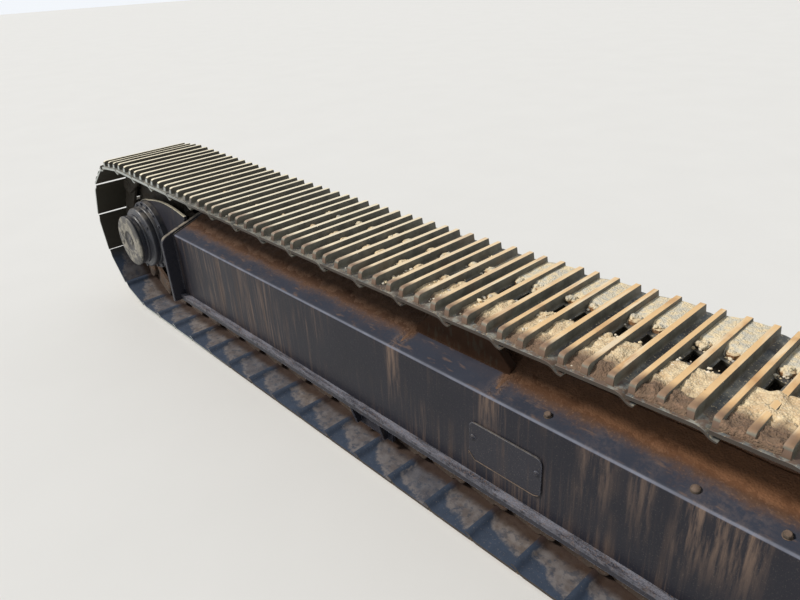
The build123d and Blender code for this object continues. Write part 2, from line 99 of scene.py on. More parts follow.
# The frame box's section
HALF_WIDTH = 0.165
FOLD_Z = 0.518
ROOF_SLOPE = math.radians(18)
ROOF_RISE = math.tan(ROOF_SLOPE)
FLANGE_TOP = 0.222
SOLE_TOP = 0.212
SOLE_Z = 0.196
BOX_START, BOX_END = BOX_LOW.x, BOX_HIGH.x
END_PLATE_X = BOX_START - 0.020

# Cheeks, slide rails, access cover and roof bolts, with places across from the chain's middle
CHEEK_RADIUS = 0.180
CHEEK_CROWN = 0.024
CHEEK_INNER = 0.076
CHEEK_OUTER = 0.090
RAIL_INNER = 0.0453
RAIL_OUTER = 0.0753
RAIL_SLOPE = 0.090
LID_CORNER = 0.022
LID_THICKNESS = 0.0062
ROOF_BOLT_ACROSS = 0.134
ROOF_BOLT_STATIONS = (2.444, 2.830, 3.017)

# Rollers, weld beads, the seed of the shoes' tones, and where soil begins
ROLLER_FLANGE = 0.084
ROLLER_SPACING = 0.390
ROLLER_COUNT = 7
BEAD_STEP = 0.005
BED_UNDERSIDE = 0.004
TONE_SEED = 4
FILL_REACH = 1.25
CAKE_START = -1.9
STONE_START = -1.4

# Where soil lies: along a shoe from its first bar, across it, and along the roof from the drive's axis
BED_SPAN = (0.0135, 0.1245)
BED_EDGE = 0.2155
HOLE_SIDE = 0.034
CLEAN_STRIP = (1.925, 2.245)
RIDGE_STATIONS = (1.893, 2.272)
DRIPS = ((1.885, 0.020, 0.75), (2.268, 0.018, 0.65), (2.905, 0.060, 0.8), (2.60, 0.030, 0.5),
         (2.72, 0.020, 0.45), (0.98, 0.014, 0.3))

# Turns of local Z: to the outer side with local Y up, and to its opposite
OUTWARD = np.array([[1.0, 0, 0], [0, 0, -1], [0, 1, 0]])
UPSIDE_DOWN = np.diag([1.0, -1, -1])


class Shape:
    """Points of a piece, its faces by their number of corners, and named numbers for each point."""

    def __init__(self, points, faces, marks=None):
        self.points = np.asarray(points, float).reshape(-1, 3)
        self.faces = {k: np.asarray(v, np.int64).reshape(-1, k) for k, v in faces.items()}
        self.marks = marks or {}

    def marked(self, **marks):
        """The same shape with more numbers, each an array with one for every point."""
        return Shape(self.points, self.faces, {**self.marks, **marks})

    def flipped(self):
        """The same shape with every face turned over."""
        return Shape(self.points, {k: v[:, ::-1] for k, v in self.faces.items()}, self.marks)

    def outward(self):
        """The same shape with its faces turned outwards, by the sign of its volume."""
        volume = 0.0
        for corners in self.faces.values():
            p = self.points[corners]
            for i in range(1, corners.shape[1] - 1):
                volume += np.einsum("ij,ij->", p[:, 0], np.cross(p[:, i], p[:, i + 1]))
        return self if volume >= 0 else self.flipped()

    def moved(self, offset=(0, 0, 0), turn=None):
        """The shape turned by a 3x3 matrix, then shifted."""
        points = self.points if turn is None else self.points @ np.asarray(turn).T
        return Shape(points + np.asarray(offset, float), self.faces, self.marks)

    def placed(self, origins, turns=np.eye(3)):
        """One copy at each origin, all turned by one matrix or each by its own."""
        count, size = len(origins), len(self.points)
        turns = np.broadcast_to(turns, (count, 3, 3))
        points = np.einsum("kij,nj->kni", turns, self.points) + np.asarray(origins, float)[:, None]
        steps = np.arange(count)[:, None, None] * size
        faces = {k: v[None] + steps for k, v in self.faces.items()}
        return Shape(points, faces, {k: np.tile(v, count) for k, v in self.marks.items()})


def joined(shapes):
    """All the shapes as one, with the marks that they share."""
    start, faces = 0, {}
    for shape in shapes:
        for k, v in shape.faces.items():
            faces.setdefault(k, []).append(v + start)
        start += len(shape.points)
    shared = set.intersection(*(set(s.marks) for s in shapes))
    marks = {k: np.concatenate([s.marks[k] for s in shapes]) for k in shared}
    return Shape(
        np.concatenate([s.points for s in shapes]),
        {k: np.concatenate(v) for k, v in faces.items()},
        marks,
    )


def tube(grid, closed=False):
    """A skin over rings of points: grid[i, j] is point j of ring i, and each ring closes on itself.
    The first and last ring get a flat cap, or meet each other if closed."""
    rings, points = grid.shape[:2]
    index = np.arange(rings * points).reshape(rings, points)
    nearer = index if closed else index[:-1]
    further = np.roll(index, -1, axis=0) if closed else index[1:]
    quads = np.stack([nearer, np.roll(nearer, -1, 1), np.roll(further, -1, 1), further], -1)
    faces = {4: quads.reshape(-1, 4)}
    if not closed:
        caps = np.stack([index[0, ::-1], index[-1]])
        faces[points] = np.concatenate([faces[4], caps]) if points == 4 else caps
    return Shape(grid.reshape(-1, 3), faces).outward()


def ringed(angle, rows, closed=False):
    """A skin over rings about Z with a point at each angle. A row is a ring's radius, one number or one
    for each point, and its height."""
    circle = np.column_stack([np.cos(angle), np.sin(angle), 0 * angle])
    rings = [circle * np.reshape(radius, (-1, 1)) + [0, 0, height] for radius, height in rows]
    return tube(np.stack(rings), closed)


def lathe(profile, steps, closed=False):
    """A profile of (radius, height) rows carried round Z in equal steps."""
    return ringed(np.linspace(0, 2 * np.pi, steps, endpoint=False), profile, closed)


def softened(profile, radius, steps=3):
    """The open profile with each inner corner replaced by a short quadratic arc, radius from the corner."""
    profile = np.asarray(profile, float)
    corner = profile[1:-1]
    ends = []
    for other in (profile[:-2], profile[2:]):
        length = np.linalg.norm(other - corner, axis=1)
        reach = np.minimum(radius, 0.45 * length) / length
        ends.append((corner + (other - corner) * reach[:, None])[:, None])
    t = np.linspace(0, 1, steps)[None, :, None]
    arcs = (1 - t) ** 2 * ends[0] + 2 * t * (1 - t) * corner[:, None] + t ** 2 * ends[1]
    return np.concatenate([profile[:1], arcs.reshape(-1, 2), profile[-1:]])


def rounded(outline, radius, steps=4):
    """The closed outline with each corner replaced by a short quadratic arc."""
    loop = np.vstack([outline[-1:], outline, outline[:1]])
    return softened(loop, radius, steps)[1:-1]


def inset(outline, distance):
    """The closed outline moved inwards by distance, each corner along its bisector."""
    outline = np.asarray(outline, float)
    first = outline - np.roll(outline, 1, 0)
    second = np.roll(outline, -1, 0) - outline
    area = np.sum(outline[:, 0] * second[:, 1] - outline[:, 1] * second[:, 0])
    first /= np.linalg.norm(first, axis=1)[:, None]
    second /= np.linalg.norm(second, axis=1)[:, None]
    side = np.column_stack([-first[:, 1], first[:, 0]]) * np.sign(area)
    middle = np.column_stack([-(first + second)[:, 1], (first + second)[:, 0]]) * np.sign(area)
    middle /= np.linalg.norm(middle, axis=1)[:, None]
    reach = distance / np.maximum(0.4, np.sum(middle * side, axis=1))
    return outline + middle * reach[:, None]


def plate(outline, low, high, bevel=0.002, hole=None):
    """A plate from z low to z high with bevelled rims. A hole is an outline of as many points."""
    outline = np.asarray(outline, float)
    small = inset(outline, bevel)
    rings = [(small, low), (outline, low + bevel), (outline, high - bevel), (small, high)]
    if hole is not None:
        rings += [(hole, high), (hole, low)]
    grid = np.stack([np.column_stack([ring, np.full(len(ring), z)]) for ring, z in rings])
    return tube(grid, closed=hole is not None)


def rectangle(low_x, high_x, low_y, high_y):
    """Corners of a rectangle, anticlockwise."""
    return np.array([(low_x, low_y), (high_x, low_y), (high_x, high_y), (low_x, high_y)])


def bolt_head(across_flats, height, washer=0.0, corners=12):
    """A chamfered hexagon, on a round washer if one is given: rings of points whose radius follows it."""
    angle = np.arange(corners) * 2 * np.pi / corners
    corner = across_flats / math.sqrt(3)
    flat = across_flats / 2 if corners == 12 else corner
    hexagon = np.where(np.arange(corners) % 2 == 0, corner, flat)
    rings = [(hexagon, washer), (hexagon, washer + height * 0.82), (across_flats * 0.44, washer + height)]
    if washer:
        rings = [(corner * 1.12, 0.0), (corner * 1.12, washer)] + rings
    return ringed(angle, rings)


def bolt_circle(radius, count, height, head, phase=0.0):
    """Copies of a head on a circle about Z, standing at this height."""
    angle = phase + np.arange(count) * 2 * np.pi / count
    places = np.column_stack([radius * np.cos(angle), radius * np.sin(angle), height + 0 * angle])
    return head.placed(places)


def mirrored(shape):
    """The shape on the other side of the chain's middle as well as on its own."""
    other = Shape(shape.points * [1, -1, 1] + [0, 2 * CHAIN_Y, 0], shape.faces, shape.marks)
    return joined([shape, other.flipped()])


def bead(path, radius, seed=1):
    """A weld bead along a polyline: rings of six points every 5 mm, whose radius ripples."""
    path = np.asarray(path, float)
    lengths = np.linalg.norm(np.diff(path, axis=0), axis=1)
    stations = np.concatenate([[0], np.cumsum(lengths)])
    count = max(4, int(stations[-1] / BEAD_STEP))
    t = np.linspace(0, stations[-1], count)
    spine = np.column_stack([np.interp(t, stations, path[:, i]) for i in range(3)])
    ahead = np.gradient(spine, axis=0)
    ahead /= np.linalg.norm(ahead, axis=1)[:, None]
    helper = np.where(np.abs(ahead[:, 2:]) > 0.9, [[1.0, 0, 0]], [[0, 0, 1.0]])
    side = np.cross(ahead, helper)
    side /= np.linalg.norm(side, axis=1)[:, None]
    up = np.cross(side, ahead)
    size = radius * (1 + 0.16 * np.sin(t / BEAD_STEP * 1.9) + 0.1 * ripple(spine, 0.09, seed))
    angle = np.arange(6) * np.pi / 3
    around = side[:, None] * np.cos(angle)[None, :, None] + up[:, None] * np.sin(angle)[None, :, None]
    return tube(spine[:, None] + around * size[:, None, None])


def bed(along, across, ground, thick):
    """A bed of soil over a grid of places, thick above the ground, with an underside below it. The
    ground's height follows from the place across."""
    x, y = np.meshgrid(along, across, indexing="ij")
    level = ground(y)
    top = np.stack([x, y, level + thick(x, y)], -1)
    low = np.stack([x, y, level - BED_UNDERSIDE], -1)[:, [-1, 0]]
    return tube(np.concatenate([top, low], 1))


def stones(places, sizes, seed, squash=(1.0, 0.85, 0.7)):
    """A stone at each place: four rings of seven points, pushed in or out and turned at random."""
    rng = np.random.default_rng(seed)
    places = np.asarray(places, float)
    base = lathe([(0.55, -0.8), (1.0, -0.15), (0.8, 0.55), (0.35, 0.9)], 7)
    count = len(places)
    order = np.array([[0, 1.0, 0], [0, 0, 1], [1, 0, 0]])
    spin = [turns_about_y(angles) for angles in rng.uniform(0, 2 * np.pi, (3, count))]
    turns = spin[0] @ order @ spin[1] @ order @ spin[2]
    rough = 1 + 0.5 * (rng.random((count, len(base.points), 1)) - 0.5)
    points = base.points[None] * rough * np.asarray(sizes, float).reshape(-1, 1, 1)
    points = np.einsum("kij,knj->kni", turns, points) * np.asarray(squash) + places[:, None]
    tone = np.repeat(rng.random(count), len(base.points))
    return Shape(points, base.placed(places).faces, {"tone": tone})


def ripple(points, wavelength, seed):
    """A smooth random height between about -1 and 1: the mean of sine waves in random directions."""
    rng = np.random.default_rng(seed)
    directions = rng.normal(size=(14, 3))
    directions /= np.linalg.norm(directions, axis=1)[:, None]
    lengths = wavelength * rng.uniform(0.6, 1.5, 14)
    shifts = rng.uniform(0, 2 * np.pi, 14)
    waves = np.sin(points @ (directions / lengths[:, None] * 2 * np.pi).T + shifts)
    return waves.mean(-1) * 2.2


def ripples(points, lengths, heights, seed):
    """The sum of ripples, each with its own length, height and seed, the seeds in a row."""
    return sum(ripple(points, length, seed + i) * height
               for i, (length, height) in enumerate(zip(lengths, heights)))


def ramp(value, start, length):
    """0 at the start, 1 a length further on and straight between. A negative length runs backwards."""
    return np.clip((value - start) / length, 0, 1)


def turns_about_y(angles):
    """Rotation matrices whose X axis points up by each angle in the XZ plane."""
    c, s, zero = np.cos(angles), np.sin(angles), np.zeros_like(angles)
    rows = [c, zero, -s, zero, zero + 1, zero, s, zero, c]
    return np.stack(rows, -1).reshape(-1, 3, 3)


def upper_drop(x):
    """How far the upper run hangs below the line over both wheels at x."""
    along = x + HALF_LENGTH
    if CONTACT_START <= along <= CONTACT_END:
        return RUN_FALL
    if along < CONTACT_START:
        span = CONTACT_START
        share = along / span
    else:
        span = 2 * HALF_LENGTH - CONTACT_END
        share = (2 * HALF_LENGTH - along) / span
    sag = RUN_SAG * (span / CONTACT_START) ** 2
    return RUN_FALL * share + 4 * sag * share * (1 - share)


def chain_point(travel):
    """The pin path from the sprocket's top: upper run, idler, lower run, sprocket."""
    run, bend = 2 * HALF_LENGTH, math.pi * PITCH_RADIUS
    travel = travel % (2 * run + 2 * bend)
    if travel < run:
        x = travel - HALF_LENGTH
        return x, AXIS_Z + PITCH_RADIUS - upper_drop(x)
    travel -= run
    if travel < bend:
        angle = travel / PITCH_RADIUS
        return HALF_LENGTH + PITCH_RADIUS * math.sin(angle), AXIS_Z + PITCH_RADIUS * math.cos(angle)
    travel -= bend
    if travel < run:
        return HALF_LENGTH - travel, AXIS_Z - PITCH_RADIUS
    angle = (travel - run) / PITCH_RADIUS
    return -HALF_LENGTH - PITCH_RADIUS * math.sin(angle), AXIS_Z - PITCH_RADIUS * math.cos(angle)


def pin_places():
    """Every pin's (x, z), each one pitch from the last, found by halving."""
    travel = HALF_LENGTH + CHAIN_PHASE
    pins = [chain_point(travel)]
    for _ in range(LINKS):
        low, high = travel + 0.9 * PITCH, travel + 1.2 * PITCH
        for _ in range(40):
            travel = (low + high) / 2
            if math.dist(chain_point(travel), pins[-1]) < PITCH:
                low = travel
            else:
                high = travel
        pins.append(chain_point(travel))
    return np.array(pins)


ROLLER_LOW, ROLLER_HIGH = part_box("bottom_rollers")
ROLLER_Z = (ROLLER_LOW.z + ROLLER_HIGH.z) / 2
ROLLER_STATIONS = ROLLER_HIGH.x - ROLLER_FLANGE - ROLLER_SPACING * np.arange(ROLLER_COUNT)
PINS = pin_places()
PIN_ORIGINS = np.column_stack([PINS[:-1, 0], np.full(LINKS, CHAIN_Y), PINS[:-1, 1]])
LINK_STEPS = PINS[1:] - PINS[:-1]
LINK_ANGLES = np.arctan2(LINK_STEPS[:, 1], LINK_STEPS[:, 0])
LINK_TURNS = turns_about_y(LINK_ANGLES)
LINK_MIDDLES = (PINS[1:] + PINS[:-1]) / 2
LINK_ORIGINS = np.column_stack([LINK_MIDDLES[:, 0], np.full(LINKS, CHAIN_Y), LINK_MIDDLES[:, 1]])


class Shade:
    """A socket in a material, which Python's operators turn into Math nodes."""

    def __init__(self, tree, socket):
        self.tree = tree
        self.socket = socket

    def node(self, kind, settings, inputs, output=0):
        """One node: its settings come first, then the values or links of its sockets."""
        made = self.tree.nodes.new(kind)
        for name, value in settings.items():
            setattr(made, name, value)
        for name, value in inputs.items():
            if isinstance(value, Shade):
                self.tree.links.new(value.socket, made.inputs[name])
            else:
                made.inputs[name].default_value = value
        return Shade(self.tree, made.outputs[output])

    def math(self, operation, *values):
        """A Math node on these values, in order."""
        return self.node("ShaderNodeMath", {"operation": operation}, dict(enumerate(values)))

    def __add__(self, other):
        return self.math("ADD", self, other)

    def __radd__(self, other):
        return self.math("ADD", other, self)

    def __sub__(self, other):
        return self.math("SUBTRACT", self, other)

    def __rsub__(self, other):
        return self.math("SUBTRACT", other, self)

    def __mul__(self, other):
        return self.math("MULTIPLY", self, other)

    def __rmul__(self, other):
        return self.math("MULTIPLY", other, self)

    def __abs__(self):
        return self.math("ABSOLUTE", self)

    def rise(self, low, high):
        """0 below low and 1 above high, or the other way round, with a smooth step between."""
        settings = {"interpolation_type": "SMOOTHSTEP"}
        return self.node("ShaderNodeMapRange", settings, {0: self, 1: low, 2: high, 3: 0.0, 4: 1.0})

    def between(self, low, high, soft):
        """1 from low to high, falling to 0 over soft on each side."""
        return self.rise(low - soft, low) * self.rise(high + soft, high)

    def at_most(self, other):
        """The smaller of the two."""
        return self.math("MINIMUM", self, other)


class Finish:
    """A material in the making, whose base colour is laid on coat by coat."""

    def __init__(self, name):
        self.material = bpy.data.materials.new(name)
        self.material.use_nodes = True
        self.tree = self.material.node_tree
        self.shader = self.tree.nodes["Principled BSDF"]
        self.node = Shade(self.tree, None).node
        self.base = None
        self.place = self.node("ShaderNodeTexCoord", {}, {}, "Object")
        self.x, self.y, self.z = (self.part(self.place, axis) for axis in "XYZ")
        self.facing = self.node("ShaderNodeNewGeometry", {}, {}, "Normal")
        self.up = self.part(self.facing, "Z")

    def part(self, vector, axis):
        """One number of a vector."""
        return self.node("ShaderNodeSeparateXYZ", {}, {0: vector}, axis)

    def noise(self, scale, detail=3.0, stretch=(1, 1, 1), roughness=0.55):
        """Noise from 0 to 1 with this many cells a metre, its place stretched first."""
        source = self.place
        if stretch != (1, 1, 1):
            source = self.node("ShaderNodeVectorMath", {"operation": "MULTIPLY"}, {0: source, 1: stretch})
        sockets = {"Vector": source, "Scale": scale, "Detail": detail, "Roughness": roughness}
        return self.node("ShaderNodeTexNoise", {}, sockets)

    def cells(self, scale):
        """Distance to the nearest of scattered points, with this many points a metre."""
        return self.node("ShaderNodeTexVoronoi", {}, {"Vector": self.place, "Scale": scale})

    def edge(self, radius):
        """How far a rounded normal leans from the true one: above 0 only close to an edge."""
        bevel = self.node("ShaderNodeBevel", {"samples": 6}, {"Radius": radius})
        sockets = {0: bevel, 1: self.facing}
        return 1.0 - self.node("ShaderNodeVectorMath", {"operation": "DOT_PRODUCT"}, sockets, "Value")

    def mark(self, name):
        """A number that the piece's mesh carries for each point."""
        return self.node("ShaderNodeAttribute", {"attribute_name": name}, {}, "Fac")

    def mix(self, share, first, second):
        """The first colour where share is 0 and the second where it is 1."""
        sockets = {0: share, 6: colour(first), 7: colour(second)}
        return self.node("ShaderNodeMix", {"data_type": "RGBA"}, sockets, 2)

    def layers(self, first, *coats):
        """The first colour with others laid over it in turn, each fully where its share is 1."""
        for share, over in coats:
            first = self.mix(share, first, over)
        return first

    def coat(self, share, over):
        """Lays a colour over the base, fully where share is 1."""
        self.base = self.mix(share, self.base, over)

    def done(self, rough, metallic=0.0, bump=None, depth=0.001, specular=0.5):
        """Sets the shader's sockets and gives the material."""
        for name, value in (("Base Color", self.base), ("Roughness", rough), ("Metallic", metallic)):
            if isinstance(value, Shade):
                self.tree.links.new(value.socket, self.shader.inputs[name])
            else:
                self.shader.inputs[name].default_value = value
        if bump is not None:
            lumps = self.node("ShaderNodeBump", {}, {"Strength": 1.0, "Distance": depth, "Height": bump})
            self.tree.links.new(lumps.socket, self.shader.inputs["Normal"])
        self.shader.inputs["Specular IOR Level"].default_value = specular
        return self.material


def colour(value):
    """Three numbers as a colour with full alpha; a link stays as it is."""
    if isinstance(value, Shade) or len(value) == 4:
        return value
    return (*value, 1.0)


def piece(name, shape, material, crease=35.0, replaces=()):
    """Puts a shape into a mesh object that rides on the root body. Edges sharper than crease stay sharp."""
    mesh = bpy.data.meshes.new(name)
    mesh.vertices.add(len(shape.points))
    mesh.vertices.foreach_set("co", shape.points.astype(np.float32).ravel())
    corners = np.concatenate([v.ravel() for v in shape.faces.values()])
    sizes = np.concatenate([np.full(len(v), k) for k, v in shape.faces.items()])
    mesh.loops.add(len(corners))
    mesh.loops.foreach_set("vertex_index", corners.astype(np.int32))
    mesh.polygons.add(len(sizes))
    mesh.polygons.foreach_set("loop_start", (np.cumsum(sizes) - sizes).astype(np.int32))
    mesh.update(calc_edges=True)
    mesh.polygons.foreach_set("use_smooth", np.ones(len(sizes), bool))
    mesh.set_sharp_from_angle(angle=math.radians(crease))
    for mark, values in shape.marks.items():
        mesh.attributes.new(mark, "FLOAT", "POINT").data.foreach_set("value", values.astype(np.float32))
    made = bpy.data.objects.new(name, mesh)
    bpy.context.scene.collection.objects.link(made)
    mesh.materials.append(material)
    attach(made, "root")
    if replaces:
        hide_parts(*replaces)


def dress(nodes, material):
    """Gives carried-over CAD nodes a material slot."""
    for name in nodes:
        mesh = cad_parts[name].data
        mesh.materials.clear()
        mesh.materials.append(material)


def scaled(value, factor):
    """A colour with each of its numbers times a factor."""
    return [number * factor for number in value]


def paint_material(look, name="plate_paint", dusty=0.65, lying=None):
    """Dark satin paint of plates: thin tan streaks down it, dust on what faces up, pale upright edges of
    rubbed paint and painted highlight.
    """
    f = Finish(name)
    cloud = f.noise(5.0, 4.0)
    streak = f.noise(30.0, 4.0, (1, 1, 0.06)).rise(0.52, 0.70) * f.noise(5.0).rise(0.32, 0.6)
    speck = f.noise(240.0, 2.0).rise(0.60, 0.70)
    dust = f.up.rise(0.30, 0.85) * f.noise(30.0, 4.0).rise(0.25, 0.60)
    f.base = f.mix(cloud, look.paint, scaled(look.paint, 1.5))
    f.coat(streak * 0.35, look.rust_dust)
    f.coat(speck * 0.10, look.dust)
    f.coat((dust * dusty).at_most(0.9), lying or look.dust)
    # Pale edges: rubbed paint, and painted highlights where the edges catch the light.
    worn = f.edge(0.0022).rise(0.02, 0.16) * f.noise(70.0).rise(0.30, 0.60)
    f.coat(worn * 0.75, look.worn)
    rough = 0.42 + dust * 0.4 + streak * 0.2
    return f.done(rough, 0.0, f.noise(90.0) + speck * 0.3, 0.0005, 0.2)


def frame_material(look):
    """The frame box: dark paint with streaks down the walls, a painted highlight along the fold and a
    painted sky reflection on the roof beside it, a grainy pale band where the wall bends out, and soil on
    the roof, thick towards the middle and lighter at the idler end as painted light where the chain shades
    it, with a clean strip beside the rails."""
    f = Finish("frame_box_paint")
    along = f.x + HALF_LENGTH
    across = abs(f.y - CHAIN_Y)
    cloud = f.noise(3.5, 4.0)
    patch = f.noise(3.0).rise(0.35, 0.62)
    thin = f.noise(85.0, 5.0, (1, 1, 0.045), roughness=0.65).rise(0.48, 0.70)
    tall = f.noise(24.0, 4.0, (1, 1, 0.05)).rise(0.50, 0.72) * patch
    f.base = f.mix(cloud, scaled(look.paint, 0.8), scaled(look.paint, 1.3))
    near_end = along.between(0.36, 0.90, 0.55)
    f.coat(thin * (patch * 0.34 + near_end * 0.27), look.streak)
    f.coat(tall * 0.46, look.rust_dust)
    wander = (f.noise(3.0, 3.0, (1, 1, 1.6)) - 0.5) * 0.05
    drip = 0.0
    for place, width, strength in DRIPS:
        drip = (along + wander).between(place - width, place + width, width) * strength + drip
    drip = drip * f.noise(75.0, 5.0, (1, 1, 0.09), roughness=0.65).rise(0.38, 0.66) * f.z.rise(0.26, 0.50)
    f.coat(drip * 0.95, look.streak)
    speck = f.noise(260.0, 2.0).rise(0.61, 0.70)
    f.coat(speck * 0.06, look.dust)
    on_roof = f.up.rise(0.70, 0.93) * f.z.rise(FOLD_Z - 0.02, FOLD_Z)
    # Painted reflection: the sky's blue sheen on the roof near the fold.
    f.coat(on_roof * (0.35 + f.noise(4.0) * 0.6), look.sheen)
    scratch = f.noise(55.0, 3.0, (0.3, 1, 1)).rise(0.58, 0.70) * on_roof
    f.coat(scratch * 0.35, look.crust)
    inner = across.rise(0.140, 0.062)
    grain = f.noise(75.0, 5.0, roughness=0.65)
    soil = (f.noise(11.0, 5.0) * 0.8 + grain * 0.6 + inner * 0.85).rise(0.66, 1.42) * on_roof
    strip = along.between(*CLEAN_STRIP, 0.018) * across.rise(0.060, 0.085)
    clean = along.between(2.850, 2.935, 0.03) * across.rise(0.115, 0.140)
    ridge = along.between(1.872, 1.902, 0.014) + along.between(2.262, 2.286, 0.014)
    ridge = ridge * grain.rise(0.42, 0.62) * on_roof
    soil = soil * (1.0 - strip * 0.9) * (1.0 - clean * 0.8)
    deep = (f.noise(40.0, 4.0) * 0.5 + across.rise(0.115, 0.060)).rise(0.35, 0.95)
    # Painted light: lighter soil at the idler end, laid only where the chain shades the roof.
    shade_lift = f.x.rise(0.20, 1.30) * across.rise(0.098, 0.072) * 0.8
    f.coat(soil * 0.9, f.layers(look.soil, (deep, look.soil_deep), (shade_lift, look.shade_lifted_soil)))
    crust = soil * f.noise(150.0, 5.0).rise(0.52, 0.68) * across.rise(0.05, 0.11)
    f.coat((crust * 0.40 + ridge * 0.3).at_most(1.0), look.crust)
    # Painted highlight: a pale bluish line along the rounded fold.
    fold = f.up.between(0.50, 0.68, 0.20) * f.z.rise(FOLD_Z - 0.03, FOLD_Z - 0.012)
    f.coat(fold * (0.25 + f.noise(14.0, 4.0) * 0.8), scaled(look.worn, 0.72))
    low = f.z.rise(FLANGE_TOP + 0.030, FLANGE_TOP + 0.024) * f.z.rise(SOLE_TOP - 0.004, SOLE_TOP)
    bent = low * f.up.rise(0.02, 0.35)
    runs = f.noise(26.0, 5.0, (0.30, 1.6, 1.6), roughness=0.65).rise(0.38, 0.62)
    sandy = f.noise(330.0, 2.0).rise(0.42, 0.58) * 0.35 + runs * 0.65
    f.coat((bent * (0.04 + sandy * 0.90)).at_most(1.0), look.flange_dust)
    f.coat(bent * f.noise(130.0).rise(0.56, 0.66) * 0.35, look.crust)
    lip = low * across.rise(0.1885, 0.1898)
    f.coat(lip * f.noise(50.0).rise(0.3, 0.6) * 0.35, look.flange_dust)
    rough = 0.40 + (soil + bent + fold).at_most(1.0) * 0.45 + tall * 0.15
    bump = f.noise(80.0) * 0.3 + soil * f.noise(120.0, 4.0) * 2.0 + bent * f.noise(260.0) + ridge * 1.5
    return f.done(rough, 0.0, bump, 0.0010, 0.15)


def shoe_material(look):
    """Worn shoe steel. Outside: rubbed bar tops, dark flanks and dusty plates, the plates darker towards the
    drive end as painted shade between the bars, brown mud with painted shadow towards the outer ends, most
    at the idler end, and outer edges and bar ends in painted shade at the idler end and painted sunlight at
    the
    drive end. Inside: painted shade, nearly black, in the bends and above, and on the lower run bluish with
    a ragged slant patch of tan dust towards the links, a painted shadow beside the links and a bare band at
    each lip."""
    f = Finish("shoe_steel")
    bar, along, across, tone = (f.mark(name) for name in ("bar", "along", "across", "tone"))
    side = abs(across)
    out = f.part(f.facing, "X") * f.mark("out_x") + f.up * f.mark("out_z")
    facing = out.rise(0.45, 0.92)
    far = f.x.rise(0.90, -0.60)
    near = 1.0 - far
    # Painted sunlight: towards the drive end the rims, outer edges and bar ends turn pale.
    sunlit_drive_end = f.x.rise(-0.80, -1.35)
    grain = f.noise(130.0, 4.0)
    drag = f.noise(50.0, 4.0, (1, 0.10, 1))
    pale_flank = f.mix(f.noise(22.0, 4.0).rise(0.35, 0.65), look.flank_near, scaled(look.flank_near, 0.6))
    flank = f.layers(
        look.flank,
        (grain, scaled(look.flank, 1.8)),
        (f.x.rise(-1.90, 0.10) * 0.9, pale_flank),
        (f.noise(9.0).rise(0.50, 0.72) * near * 0.22, look.bar_rust),
    )
    dusty = (f.noise(24.0, 5.0) * 0.8 + drag * 0.3).rise(0.42, 0.66)
    stain = (f.noise(13.0, 5.0) * 1.2 + side.rise(0.222, 0.150) * 0.25).rise(0.62, 0.90)
    outermost = (across + f.noise(16.0, 4.0) * 0.08).rise(-0.100, -0.165)
    # Brown mud on the outer ends at the idler end, partly real mud and partly painted shadow.
    mud = outermost * near * f.noise(45.0, 5.0).rise(0.40, 0.55)
    plate_colour = f.layers(
        look.plate,
        # Painted shade: plates darker between the bars towards the drive end.
        (far * 0.7, look.flank),
        (dusty * (0.70 - far * 0.22), look.plate_dust),
        (stain * 0.7, look.bar_end),
        (f.noise(190.0, 2.0).rise(0.60, 0.68) * 0.6, look.soil_pale),
        (mud * 0.85, look.clod_and_shadow),
    )
    f.base = f.mix(facing, flank, plate_colour)
    cream = f.mix(drag.rise(0.35, 0.70) * 0.5, look.bar_far, scaled(look.bar_far, 0.72))
    orange = f.layers(
        look.bar_near,
        (f.noise(9.0, 4.0).rise(0.48, 0.72) * 0.7, look.bar_rust),
        (drag.rise(0.46, 0.70) * 0.65, look.bar_far),
    )
    # Brown mud and painted shadow on the bar tops' outer ends, from the middle to the idler end.
    mud_and_shadow = outermost * f.x.rise(-1.25, -0.45) * 0.88
    top = f.layers(orange, (far, cream), (mud_and_shadow, scaled(look.clod_and_shadow, 1.4)))
    f.coat(bar.rise(0.84, 0.965) * facing, top)
    ends = side.rise(0.2128, 0.2136) * bar.rise(0.02, 0.08) * (1.0 - facing)
    # Bar end faces: muddy brown with painted shade at the idler end, painted sunlight towards the drive end.
    muddy_shaded_end = f.mix(f.x.rise(-0.70, 0.10), scaled(look.clod_and_shadow, 0.42), scaled(look.clod_and_shadow, 1.1))
    f.coat(ends * 0.85, f.mix(sunlit_drive_end, muddy_shaded_end, look.painted_sunlit_rim))
    # Painted sunlight: a pale line on the plates' top rims, strongest towards the drive end.
    rim = side.rise(0.2215, 0.2240) * facing
    f.coat(rim * (0.12 + sunlit_drive_end * 0.7), look.painted_sunlit_rim)
    ragged = f.noise(19.0, 5.0) * 0.085 - 0.045
    tan = (side + ragged + along * 0.42 + (tone - 0.5) * 0.05).rise(0.204, 0.164)
    tan = tan * (along + ragged * 0.25).rise(0.090, 0.080)
    tan = tan * (along + ragged * 0.3).rise(-0.090, -0.082)
    rind = tan * (1.0 - tan) * 4.0 * f.noise(60.0, 5.0).rise(0.42, 0.58)
    dust = f.layers(
        look.under_dust,
        (f.noise(28.0, 4.0).rise(0.35, 0.68), look.under_pale),
        (f.noise(48.0, 5.0).rise(0.50, 0.64) * 0.55, look.under_steel),
    )
    under = f.layers(
        look.under_steel,
        (f.noise(35.0, 4.0), scaled(look.under_steel, 1.9)),
        (tan * (0.40 + tone * 0.60), dust),
        (rind * 0.65, look.under_pale),
        (f.noise(210.0, 2.0).rise(0.64, 0.70) * 0.5, look.under_pale),
        # Painted shadow: a dark band beside the links, under the sole plate.
        ((side + ragged * 0.4).rise(0.126, 0.090) * 0.85, scaled(look.soil_deep, 0.55)),
    )
    low = (f.z + f.noise(12.0) * 0.05).rise(0.300, 0.200)
    inside = out.rise(-0.30, -0.75)
